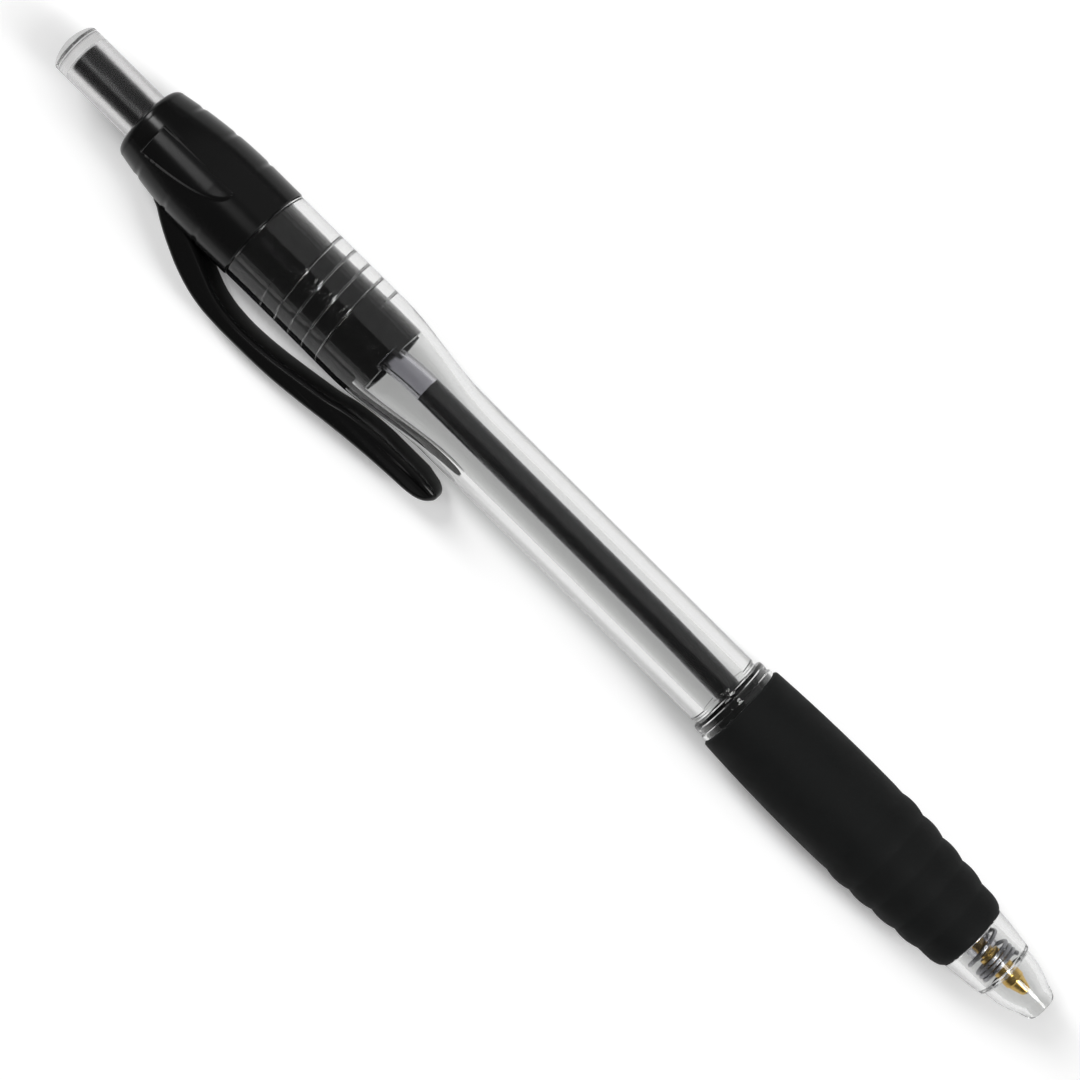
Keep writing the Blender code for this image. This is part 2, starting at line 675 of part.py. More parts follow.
def build_collar(bench, material, clip_azimuth):
    """Collar with its threaded sleeve, guide ribs, clip socket, tongue and end notches."""
    collar = bench.part("clip_collar", outline_mesh("clip_collar", collar_outline()), material)
    turn(collar, STEPS)
    thread = bench.tool("thread_ridge", thread_mesh(bench, "thread_ridge", THREAD_RADIUS))
    combine(collar, thread, "UNION")
    root = 0.25 * SLEEVE_WALL
    guides = ring_of_blocks(
        "guides", GUIDE_COUNT, GUIDE_INNER, SLEEVE_BORE + root, GUIDE_WIDTH,
        GUIDE_FRONT, COLLAR_FRONT, GUIDE_SLOPE,
    )
    combine(collar, bench.tool("guides", guides), "UNION")
    combine(collar, boss_tool(bench, clip_azimuth), "UNION")
    notches = ring_of_blocks(
        "sleeve_notches", GUIDE_COUNT, SLEEVE_BORE - SLEEVE_WALL, SLEEVE_RADIUS + SLEEVE_WALL,
        SLEEVE_NOTCH_WIDTH, SLEEVE_FRONT - SLEEVE_NOTCH_DEPTH, SLEEVE_FRONT + SLEEVE_NOTCH_DEPTH,
    )
    combine(collar, bench.tool("sleeve_notches", notches), "DIFFERENCE")
    pocket = clip_bead_tool(bench, "clip_socket", clip_azimuth, SEAT_GAP)
    combine(collar, pocket, "DIFFERENCE")


def clip_bead_tool(bench, name, clip_azimuth, growth):
    """The clip's root bead, or with growth the socket that holds it."""
    shape = bmesh.new()
    radius = CLIP_BEAD_RADIUS + growth
    width = CLIP_BEAD_WIDTH + 2.0 * growth
    bmesh.ops.create_cone(shape, cap_ends=True, segments=16, radius1=radius, radius2=radius, depth=width)
    mesh = bpy.data.meshes.new(name)
    shape.to_mesh(mesh)
    shape.free()
    bead = bench.tool(name, mesh)
    frame = clip_frame(clip_azimuth)
    bead.rotation_euler = frame.to_euler()
    bead.location = frame @ Vector((CLIP_ROOT, clip_bead_height(), 0.0))
    return bead


def build_clip(bench, material, clip_azimuth):
    """Pocket clip: a rounded strip with a pad, joined to the bead that it flexes on."""
    curve = bpy.data.curves.new("clip_strip", "CURVE")
    curve.dimensions = "2D"
    curve.fill_mode = "BOTH"
    curve.resolution_u = 4
    curve.extrude = 0.5 * CLIP_WIDTH - CLIP_EDGE
    curve.bevel_depth = CLIP_EDGE
    curve.offset = -CLIP_EDGE
    curve.bevel_resolution = 1
    drawing = clip_drawing()
    spline = curve.splines.new("BEZIER")
    spline.bezier_points.add(len(drawing) - 1)
    spline.use_cyclic_u = True
    for place, (front, height, _) in zip(spline.bezier_points, drawing):
        place.co = (-front, REAR_RADIUS + height - clip_bead_height(), 0.0)
    for k, place in enumerate(spline.bezier_points):
        straight = drawing[k][2]
        place.handle_left_type = "VECTOR" if straight and drawing[k - 1][2] else "AUTO"
        place.handle_right_type = "VECTOR" if straight and drawing[(k + 1) % len(drawing)][2] else "AUTO"
    guide = bench.tool("clip_strip", curve)
    clip = bench.part("pocket_clip", solid_mesh(guide), material)
    bpy.data.objects.remove(guide, do_unlink=True)
    frame = clip_frame(clip_azimuth)
    clip.rotation_euler = frame.to_euler()
    clip.location = frame @ Vector((CLIP_ROOT, clip_bead_height(), 0.0))
    combine(clip, clip_bead_tool(bench, "clip_bead", clip_azimuth, 0.0), "UNION")


def build_button(bench, material):
    """Clear button with a blind bore for the plunger's core."""
    fillet = (BUTTON_RADIUS - BUTTON_FILLET, PEN_LENGTH - BUTTON_FILLET)
    outline = [(0.0, PEN_LENGTH)]
    outline += corner(fillet, BUTTON_FILLET, 90.0, 0.0, 4)
    outline += [
        (BUTTON_RADIUS, STOP_STATION),
        (BUTTON_BORE, STOP_STATION),
        (BUTTON_BORE, PEN_LENGTH - BUTTON_END_WALL),
        (0.0, PEN_LENGTH - BUTTON_END_WALL),
    ]
    button = bench.part("push_button", outline_mesh("push_button", outline), material)
    turn(button, STEPS)


def build_plunger(bench, material):
    """Plunger: a core in the button, a stop flange, and a splined skirt that ends in crown teeth."""
    core_rear = PEN_LENGTH - BUTTON_END_WALL - SEAT_GAP
    chamfer = RUN_GAP
    outline = [
        (0.0, core_rear),
        (PLUNGER_CORE_RADIUS - chamfer, core_rear),
        (PLUNGER_CORE_RADIUS, core_rear - chamfer),
        (PLUNGER_CORE_RADIUS, FLANGE_REAR),
        (FLANGE_RADIUS, FLANGE_REAR),
        (FLANGE_RADIUS, FLANGE_FRONT),
        (PLUNGER_RADIUS, FLANGE_FRONT),
        (PLUNGER_RADIUS, PLUNGER_FRONT),
        (PLUNGER_BORE, PLUNGER_FRONT),
        (PLUNGER_BORE, FLANGE_FRONT - PLUNGER_FLANGE_LENGTH),
        (0.0, FLANGE_FRONT - PLUNGER_FLANGE_LENGTH),
    ]
    blank = bench.tool("plunger_blank", outline_mesh("plunger_blank", outline))
    turn(blank, STEPS)
    plunger = bench.part("plunger", solid_mesh(blank), material)
    bpy.data.objects.remove(blank, do_unlink=True)
    cut_crown(plunger.data, PLUNGER_FRONT, TOOTH_HEIGHT)
    spline_front = PLUNGER_FRONT + SPLINE_SETBACK
    splines = ring_of_blocks(
        "splines", GUIDE_COUNT, PLUNGER_RADIUS - RUN_GAP, FLANGE_RADIUS, LUG_WIDTH,
        spline_front, spline_front + SPLINE_LENGTH,
    )
    tool = bench.tool("splines", splines)
    tool.rotation_euler.z = 0.5 * TAU / GUIDE_COUNT
    combine(plunger, tool, "UNION")


def build_rotor(bench, material):
    """Cam rotor: a socket for the refill, crown teeth, a centring stub and sloped lugs."""
    outline = [
        (0.0, ROTOR_REAR + ROTOR_STUB_LENGTH),
        (ROTOR_STUB_RADIUS, ROTOR_REAR + ROTOR_STUB_LENGTH),
        (ROTOR_STUB_RADIUS, ROTOR_REAR),
        (ROTOR_RADIUS, ROTOR_REAR),
        (ROTOR_RADIUS, ROTOR_FRONT),
        (ROTOR_BORE, ROTOR_FRONT),
        (ROTOR_BORE, SOCKET_END),
        (0.0, SOCKET_END),
    ]
    blank = bench.tool("rotor_blank", outline_mesh("rotor_blank", outline))
    turn(blank, STEPS)
    rotor = bench.part("cam_rotor", solid_mesh(blank), material)
    bpy.data.objects.remove(blank, do_unlink=True)
    cut_crown(rotor.data, ROTOR_REAR, -TOOTH_HEIGHT)
    lugs = ring_of_blocks(
        "lugs", GUIDE_COUNT, ROTOR_RADIUS - RUN_GAP, FLANGE_RADIUS, LUG_WIDTH,
        LUG_REAR - LUG_LENGTH, LUG_REAR, GUIDE_SLOPE, slope_front=False,
    )
    tool = bench.tool("lugs", lugs)
    tool.rotation_euler.z = 0.5 * TAU / GUIDE_COUNT
    combine(rotor, tool, "UNION")


def build_refill_tube(bench, material):
    """Refill tube with the two pinched ears that the spring pushes on."""
    outline = [
        (TUBE_RADIUS, TUBE_REAR),
        (TUBE_RADIUS, TUBE_FRONT),
        (TUBE_BORE, TUBE_FRONT),
        (TUBE_BORE, TUBE_REAR),
    ]
    tube = bench.part("refill_tube", outline_mesh("refill_tube", outline), material)
    turn(tube, FINE_STEPS)
    ears = ring_of_blocks(
        "ears", 2, TUBE_RADIUS - 0.5 * TUBE_WALL, EAR_REACH, EAR_WIDTH,
        EAR_FRONT, EAR_FRONT + EAR_THICKNESS,
    )
    combine(tube, bench.tool("ears", ears), "UNION")


def build_ink(bench, material):
    """Column of ink behind the brass point."""
    shape = bmesh.new()
    bmesh.ops.create_cone(
        shape, cap_ends=True, segments=FINE_STEPS, radius1=SHANK_RADIUS, radius2=SHANK_RADIUS,
        depth=INK_LENGTH,
    )
    mesh = bpy.data.meshes.new("ink")
    shape.to_mesh(mesh)
    shape.free()
    ink = bench.part("ink", mesh, material)
    ink.location.z = INK_FRONT + 0.5 * INK_LENGTH


def build_point(bench, material):
    """Brass point: ball socket, cone, body, shank in the tube and ink channel."""
    outline = [
        (SHANK_RADIUS, POINT_SHANK_REAR),
        (SHANK_RADIUS, POINT_BODY_REAR),
        (POINT_RADIUS, POINT_BODY_REAR),
        (POINT_RADIUS, POINT_CONE_REAR),
        (SOCKET_RADIUS + POINT_LIP_WALL, POINT_LIP),
        (SOCKET_RADIUS, POINT_LIP),
        (SOCKET_RADIUS, POINT_LIP + POINT_SOCKET_DEPTH),
        (POINT_CHANNEL_RADIUS, POINT_LIP + POINT_SOCKET_DEPTH),
        (POINT_CHANNEL_RADIUS, POINT_SHANK_REAR),
    ]
    point = bench.part("brass_point", outline_mesh("brass_point", outline), material)
    turn(point, FINE_STEPS)


def build_ball(bench, material):
    """Writing ball in the point's socket."""
    shape = bmesh.new()
    bmesh.ops.create_uvsphere(shape, u_segments=16, v_segments=10, radius=BALL_RADIUS)
    mesh = bpy.data.meshes.new("point_ball")
    shape.to_mesh(mesh)
    shape.free()
    mesh.shade_smooth()
    ball = bench.part("point_ball", mesh, material)
    ball.location.z = BALL_CENTRE


def build_spring(bench, material):
    """Return spring between the nose seat and the refill's ears."""
    points = spring_points()
    bench.part("return_spring", wire_curve("return_spring", points, 0.5 * SPRING_WIRE), material)
    print(f"return_spring: least gap to itself {least_gap(points, SPRING_WIRE) / MM:.3f} mm")


def lay_down(bench, axis_height, roll):
    """Lay the pen axis along X, over the origin, at the height of the grip's largest radius."""
    reach = REAR_RADIUS + CLIP_CREST - CLIP_EDGE
    half = 0.5 * CLIP_WIDTH - CLIP_EDGE
    clip_side = reach * math.cos(roll) + half * math.sin(roll) + CLIP_EDGE
    bench.axis.rotation_euler.y = -0.25 * TAU
    bench.axis.location = (0.5 * PEN_LENGTH, 0.5 * (clip_side - axis_height), axis_height)


def main():
    """Build every piece of the pen."""
    clear_scene()
    bench = Bench()
    clear = make_material("clear_plastic", (0.95, 0.95, 0.96), 0.05, transmission=1.0)
    clear_button = make_material("clear_button_plastic", (0.93, 0.93, 0.95), 0.05, transmission=1.0)
    gloss_black = make_material("gloss_black_plastic", (0.008, 0.008, 0.008), 0.15)
    clip_black = make_material("clip_black_plastic", (0.008, 0.008, 0.008), 0.15)
    core_black = make_material("core_black_plastic", (0.01, 0.01, 0.01), 0.3)
    rotor_white = make_material("rotor_white_plastic", (0.75, 0.75, 0.73), 0.4)
    rubber = make_material("black_rubber", (0.012, 0.012, 0.013), 0.75)
    milky = make_material("milky_plastic", (0.8, 0.8, 0.82), 0.25, transmission=0.7)
    ink_black = make_material("black_ink", (0.004, 0.004, 0.006), 0.2)
    brass = make_material("brass", (0.75, 0.5, 0.13), 0.25, metallic=1.0)
    ball_steel = make_material("ball_carbide", (0.35, 0.35, 0.37), 0.15, metallic=1.0)
    spring_steel = make_material("spring_steel", (0.45, 0.45, 0.47), 0.3, metallic=1.0)

    axis_height = max(radius for radius, _ in grip_outline())
    roll = resting_roll(axis_height)
    clip_azimuth = -(0.25 * TAU + roll)
    build_barrel(bench, clear)
    build_grip(bench, rubber)
    build_collar(bench, gloss_black, clip_azimuth)
    build_clip(bench, clip_black, clip_azimuth)
    build_button(bench, clear_button)
    build_plunger(bench, core_black)
    build_rotor(bench, rotor_white)
    build_refill_tube(bench, milky)
    build_ink(bench, ink_black)
    build_point(bench, brass)
    build_ball(bench, ball_steel)
    build_spring(bench, spring_steel)
    lay_down(bench, axis_height, roll)


main()
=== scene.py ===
"""Looks of a pushbutton ballpoint pen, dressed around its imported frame.

Every piece is drawn in millimetres round a pen axis, with stations counted from the nose end to the
button, and is then laid on the table as the frame has it. Each sub-assembly of the pen is a class that
holds its sizes, draws its meshes and dresses them in a finish.
"""

from __future__ import annotations

import json
import logging
import math
from abc import ABC, abstractmethod
from collections.abc import Callable, Sequence
from dataclasses import dataclass, field
from enum import Enum

import bmesh
import bpy
from mathutils import Matrix, Vector

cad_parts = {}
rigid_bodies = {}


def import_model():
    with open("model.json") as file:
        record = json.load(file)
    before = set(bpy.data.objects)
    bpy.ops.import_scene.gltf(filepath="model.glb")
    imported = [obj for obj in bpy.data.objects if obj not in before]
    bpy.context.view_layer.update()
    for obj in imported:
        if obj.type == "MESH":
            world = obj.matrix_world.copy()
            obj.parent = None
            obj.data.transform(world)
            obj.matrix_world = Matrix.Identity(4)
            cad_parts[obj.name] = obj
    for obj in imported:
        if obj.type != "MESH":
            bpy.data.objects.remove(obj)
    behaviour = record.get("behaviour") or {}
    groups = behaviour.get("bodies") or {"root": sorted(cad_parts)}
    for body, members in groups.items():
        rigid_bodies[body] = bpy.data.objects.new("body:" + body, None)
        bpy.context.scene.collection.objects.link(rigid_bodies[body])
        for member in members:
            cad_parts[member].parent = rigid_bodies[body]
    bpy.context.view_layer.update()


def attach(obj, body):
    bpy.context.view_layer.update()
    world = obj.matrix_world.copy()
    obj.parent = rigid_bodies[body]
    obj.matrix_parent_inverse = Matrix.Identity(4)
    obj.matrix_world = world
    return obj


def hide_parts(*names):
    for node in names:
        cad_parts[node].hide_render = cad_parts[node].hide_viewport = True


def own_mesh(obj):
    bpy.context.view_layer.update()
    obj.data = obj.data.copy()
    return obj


LOG = logging.getLogger("ballpoint_pen")
MM = 0.001
TAU = 2.0 * math.pi
QUARTER = 0.25 * TAU

# A point is a radius and a station, and a corner adds how far its rounding reaches along each side.
Point = tuple[float, float]
Corner = tuple[float, float, float]
Outline = list[Point]
Colour = tuple[float, float, float]
Warp = Callable[[float, float, float], Point]
Socket = bpy.types.NodeSocket

# Drawn measures closer than this many millimetres count as the same one.
SAME = 0.01
UNIT: Point = (0.0, 1.0)


class Body(Enum):
    """The moving bodies of the frame."""

    BARREL = "barrel"
    BUTTON = "button"
    REFILL = "refill"
    ROTOR = "rotor"
    BALL = "ball"
    CLIP = "clip"


class Slot(Enum):
    """The record's material slots."""

    CLEAR = "clear_plastic"
    RUBBER = "black_rubber"
    GLOSS = "black_gloss"
    SATIN = "black_satin"
    MILKY = "milky_plastic"
    INK = "black_ink"
    BRASS = "brass"
    BALL = "bright_steel"
    SPRING = "spring_steel"


class Steps(Enum):
    """How many sides a turned piece gets."""

    FINE = 264
    WIDE = 160
    SMALL = 96


class Crease(Enum):
    """The angle in degrees from which an edge of a piece stays crisp."""

    STRIP = 30.0
    TURNED = 35.0
    WIRE = 60.0


def smooth(share: float) -> float:
    """Rise from 0 to 1 with level ends, and stay there."""
    t = min(1.0, max(0.0, share))
    return t * t * (3.0 - 2.0 * t)


def ramp(value: float, low: float, high: float) -> float:
    """How far a value has come from low to high, eased at both ends."""
    return smooth((value - low) / (high - low))


def mix(first: float, second: float, share: float) -> float:
    """The value at a share of the way between two values."""
    return first + (second - first) * share


def shares(count: int) -> list[float]:
    """Equal shares from 0 to 1, with both ends."""
    return [i / count for i in range(count + 1)]


def straight(start: Point, end: Point, count: int) -> Outline:
    """Draw a straight run.

    Args:
        start: First (radius, station) point.
        end: Last point.
        count: Number of equal steps.

    Returns:
        The points, with both ends.
    """
    return [(mix(start[0], end[0], t), mix(start[1], end[1], t)) for t in shares(count)]


def eased(start: Point, end: Point, count: int) -> Outline:
    """Draw an S-shaped run.

    Args:
        start: First (radius, station) point.
        end: Last point.
        count: Number of steps.

    Returns:
        The points, with both ends.
    """
    return [(mix(start[0], end[0], smooth(t)), mix(start[1], end[1], t)) for t in shares(count)]


def softened(corners: Sequence[Corner], count: int = 6) -> Outline:
    """Round the corners of an open outline.

    Args:
        corners: The corners. A corner with no rounding stays as it is.
        count: Steps of each rounding.

    Returns:
        The rounded outline.
    """
    points: Outline = []
    for k, (radius, station, reach) in enumerate(corners):
        if reach <= 0.0 or k in (0, len(corners) - 1):
            points.append((radius, station))
            continue
        here = Vector((radius, station))
        before = Vector(corners[k - 1][:2]) - here
        after = Vector(corners[k + 1][:2]) - here
        start = here + before.normalized() * min(reach, 0.5 * before.length)
        end = here + after.normalized() * min(reach, 0.5 * after.length)
        for t in shares(count):
            place = start * (1.0 - t) ** 2 + here * 2.0 * t * (1.0 - t) + end * t * t
            points.append((place.x, place.y))
    return points


def held(outline: Outline, reach: float = 0.05, long_run: float = 12.0) -> Outline:
    """Hold the shading of long runs straight with points next to their ends.

    Args:
        outline: The outline.
        reach: How far from the ends the new points lie.
        long_run: How many reaches make a run long.

    Returns:
        The outline with the new points.
    """
    points = [outline[0]]
    for first, second in zip(outline, outline[1:]):
        length = math.dist(first, second)
        if length > long_run * reach:
            for share in (reach / length, 1.0 - reach / length):
                points.append((mix(first[0], second[0], share), mix(first[1], second[1], share)))
        points.append(second)
    return points


def finish_mesh(shape: bmesh.types.BMesh, name: str, crease: Crease) -> bpy.types.Mesh:
    """Turn a shape into a smooth-shaded mesh with crisp edges.

    Args:
        shape: The shape, which is freed.
        name: Name of the mesh.
        crease: Which edges stay crisp.

    Returns:
        The mesh.
    """
    bmesh.ops.recalc_face_normals(shape, faces=shape.faces)
    for face in shape.faces:
        face.smooth = True
    mesh = bpy.data.meshes.new(name)
    shape.to_mesh(mesh)
    shape.free()
    mesh.set_sharp_from_angle(angle=math.radians(crease.value))
    return mesh


def turned(name: str, outline: Outline, steps: Steps, warp: Warp | None = None) -> bpy.types.Mesh:
    """Turn an outline about the pen axis.

    Args:
        name: Name of the mesh.
        outline: (radius, station) points. It closes on itself unless it starts on the axis.
        steps: How many sides the piece gets.
        warp: Gives the (radius, station) of a point from its radius, angle and station.

    Returns:
        A closed mesh in millimetres round the pen axis.
    """
    shape = bmesh.new()
    sides = steps.value
    rings: list[list[bmesh.types.BMVert]] = []
    for radius, station in outline:
        if radius <= 0.0:
            rings.append([shape.verts.new((0.0, 0.0, station))])
            continue
        ring = []
        for k in range(sides):
            angle = TAU * k / sides
            reach, place = warp(radius, angle, station) if warp else (radius, station)
            ring.append(shape.verts.new((reach * math.cos(angle), reach * math.sin(angle), place)))
        rings.append(ring)
    if outline[0][0] > 0.0:
        rings.append(rings[0])
    for first, second in zip(rings, rings[1:]):
        for k in range(sides):
            n = (k + 1) % sides
            near = [first[k % len(first)], first[n % len(first)]]
            far = [second[n % len(second)], second[k % len(second)]]
            shape.faces.new(list(dict.fromkeys(near + far)))
    return finish_mesh(shape, name, Crease.TURNED)


def wound(name: str, path: Sequence[Vector], radius: float, sides: int) -> bpy.types.Mesh:
    """Draw a round wire along a path that winds about the pen axis.

    Args:
        name: Name of the mesh.
        path: Points of the wire's middle.
        radius: Radius of the wire.
        sides: Number of sides of the wire.

    Returns:
        A closed mesh in millimetres.
    """
    shape = bmesh.new()
    angles = [TAU * i / sides for i in range(sides)]
    rings = []
    for k, place in enumerate(path):
        ahead = (path[min(k + 1, len(path) - 1)] - path[max(k - 1, 0)]).normalized()
        outward = Vector((place.x, place.y, 0.0)).normalized()
        outward = (outward - ahead * outward.dot(ahead)).normalized()
        beside = ahead.cross(outward)
        round_wire = [math.cos(a) * outward + math.sin(a) * beside for a in angles]
        rings.append([shape.verts.new(place + radius * side) for side in round_wire])
    for first, second in zip(rings, rings[1:]):
        for i in range(sides):
            n = (i + 1) % sides
            shape.faces.new((first[i], first[n], second[n], second[i]))
    shape.faces.new(rings[0])
    shape.faces.new(rings[-1])
    return finish_mesh(shape, name, Crease.WIRE)


class Board:
    """A node tree with short calls for placing and joining nodes."""

    columns = 8
    spacing = (220.0, -320.0)
    mix_inputs = (6, 7)
    mix_output = 2

    def __init__(self, tree: bpy.types.NodeTree) -> None:
        """Take a tree and count its nodes for a tidy layout."""
        self.tree = tree
        self.placed = 0

    def add(self, kind: str, **settings: object) -> bpy.types.Node:
        """Place a node.

        Args:
            kind: Blender's name of the node.
            **settings: Properties of the node to set.

        Returns:
            The node.
        """
        node = self.tree.nodes.new(kind)
        column, row = self.placed % self.columns, self.placed // self.columns
        node.location = (self.spacing[0] * column, self.spacing[1] * row)
        self.placed += 1
        for key, value in settings.items():
            setattr(node, key, value)
        return node

    def join(self, source: Socket, target: Socket) -> None:
        """Link an output to an input."""
        self.tree.links.new(source, target)

    def put(self, value: Socket | float, target: Socket) -> None:
        """Give an input a value.

        Args:
            value: An output to link, or a plain number.
            target: The input.
        """
        if isinstance(value, bpy.types.NodeSocket):
            self.join(value, target)
        else:
            target.default_value = value

    def math(self, operation: str, first: Socket | float, second: Socket | float) -> Socket:
        """Place a Math node.

        Args:
            operation: Blender's name of the operation.
            first: A socket or a number.
            second: A socket or a number.

        Returns:
            The node's output.
        """
        node = self.add("ShaderNodeMath", operation=operation)
        self.put(first, node.inputs[0])
        self.put(second, node.inputs[1])
        return node.outputs[0]

    def span(self, value: Socket, source: Point, target: Point) -> Socket:
        """Map a value from one range to another, clamped.

        Args:
            value: Socket of the value.
            source: Low and high of the value.
            target: What low and high become.

        Returns:
            The mapped value.
        """
        node = self.add("ShaderNodeMapRange", clamp=True)
        self.join(value, node.inputs["Value"])
        for name, number in zip(("From Min", "From Max", "To Min", "To Max"), (*source, *target)):
            node.inputs[name].default_value = number
        return node.outputs["Result"]

    def blend(self, share: Socket, first: Colour, second: Colour) -> Socket:
        """Mix two colours by a share that changes over the surface.

        Args:
            share: Socket of the share.
            first: Colour at 0.
            second: Colour at 1.

        Returns:
            The mixed colour.
        """
        node = self.add("ShaderNodeMix", data_type="RGBA")
        self.join(share, node.inputs[0])
        for index, colour in zip(self.mix_inputs, (first, second)):
            node.inputs[index].default_value = (*colour, 1.0)
        return node.outputs[self.mix_output]

    def noise(
        self, place: Socket, scale: Socket | float, detail: float = 2.0, rough: float = 0.5
    ) -> Socket:
        """Place a noise.

        Args:
            place: Socket of the coordinates.
            scale: Scale of the noise, per metre.
            detail: How many finer layers it has.
            rough: How strong the finer layers are.

        Returns:
            The noise.
        """
        node = self.add("ShaderNodeTexNoise")
        self.join(place, node.inputs["Vector"])
        self.put(scale, node.inputs["Scale"])
        node.inputs["Detail"].default_value = detail
        node.inputs["Roughness"].default_value = rough
        return node.outputs[0]


@dataclass
class Effects:
    """Shader node groups that several finishes share, each built once."""

    fine_detail: float = 4.0
    slow_detail: float = 5.0
    slow_rough: float = 0.6
    slow_range: Point = (0.32, 0.68)
    drawn_out: float = 0.03
    line_range: Point = (0.62, 0.72)
    spot_scale: float = 150.0
    spot_range: Point = (0.45, 0.70)
    crest_range: Point = (0.51, 0.56)
    patch_scale: float = 420.0
    patch_range: Point = (0.35, 0.65)
    patch_share: Point = (0.3, 1.0)
    grain: bpy.types.NodeTree = field(init=False)
    scratches: bpy.types.NodeTree = field(init=False)
    edges: bpy.types.NodeTree = field(init=False)

    def __post_init__(self) -> None:
        """Build the groups."""
        self.grain = self._grain()
        self.scratches = self._scratches()
        self.edges = self._edges()

    @staticmethod
    def _group(
        name: str, inputs: dict[str, float], outputs: Sequence[str]
    ) -> tuple[Board, bpy.types.Node, bpy.types.Node]:
        """Start a group.

        Args:
            name: Name of the group.
            inputs: Names of its inputs with their usual values.
            outputs: Names of its outputs.

        Returns:
            Its board, its input node and its output node.
        """
        tree = bpy.data.node_groups.new(name, "ShaderNodeTree")
        for label, value in inputs.items():
            socket = tree.interface.new_socket(label, in_out="INPUT", socket_type="NodeSocketFloat")
            socket.default_value = value
        for label in outputs:
            tree.interface.new_socket(label, in_out="OUTPUT", socket_type="NodeSocketFloat")
        board = Board(tree)
        return board, board.add("NodeGroupInput"), board.add("NodeGroupOutput")

    @staticmethod
    def _coordinates(board: Board, along: Socket | float = 1.0) -> Socket:
        """Give the piece's own coordinates, drawn out along the pen.

        Args:
            board: The group's board.
            along: Scale along the pen, where less than 1 draws out.

        Returns:
            The coordinates.
        """
        place = board.add("ShaderNodeTexCoord")
        parts = board.add("ShaderNodeSeparateXYZ")
        joined = board.add("ShaderNodeCombineXYZ")
        board.join(place.outputs["Object"], parts.inputs[0])
        board.join(board.math("MULTIPLY", parts.outputs["X"], along), joined.inputs["X"])
        board.join(parts.outputs["Y"], joined.inputs["Y"])
        board.join(parts.outputs["Z"], joined.inputs["Z"])
        return joined.outputs[0]

    def _grain(self) -> bpy.types.NodeTree:
        """Build the fine relief and slow shading of a moulded or drawn surface.

        Returns:
            The group.
        """
        usual = {"Scale": 3000.0, "Along": 1.0, "Patches": 180.0}
        board, given, result = self._group("surface_grain", usual, ("Height", "Shade"))
        place = self._coordinates(board, given.outputs["Along"])
        fine = board.noise(place, given.outputs["Scale"], self.fine_detail)
        slow = board.noise(place, given.outputs["Patches"], self.slow_detail, self.slow_rough)
        board.join(fine, result.inputs["Height"])
        board.join(board.span(slow, self.slow_range, UNIT), result.inputs["Shade"])
        return board.tree

    def _scratches(self) -> bpy.types.NodeTree:
        """Build the hairline marks of handling, mostly along the pen.

        Returns:
            The group.
        """
        usual = {"Scale": 2200.0, "Amount": 0.4}
        board, given, result = self._group("fine_scratches", usual, ("Mask",))
        along = board.noise(self._coordinates(board, self.drawn_out), given.outputs["Scale"])
        where = board.noise(self._coordinates(board), self.spot_scale)
        lines = board.span(along, self.line_range, UNIT)
        spots = board.span(where, self.spot_range, UNIT)
        amount = board.math("MULTIPLY", lines, given.outputs["Amount"])
        board.join(board.math("MULTIPLY", amount, spots), result.inputs["Mask"])
        return board.tree

    def _edges(self) -> bpy.types.NodeTree:
        """Build the edges and crests that hands have rubbed.

        Returns:
            The group.
        """
        board, given, result = self._group("rubbed_edges", {"Amount": 0.5}, ("Mask",))
        shape = board.add("ShaderNodeNewGeometry")
        crest = board.span(shape.outputs["Pointiness"], self.crest_range, UNIT)
        uneven = board.noise(self._coordinates(board), self.patch_scale)
        rubbed = board.math("MULTIPLY", crest, board.span(uneven, self.patch_range, self.patch_share))
        board.join(board.math("MULTIPLY", rubbed, given.outputs["Amount"]), result.inputs["Mask"])
        return board.tree


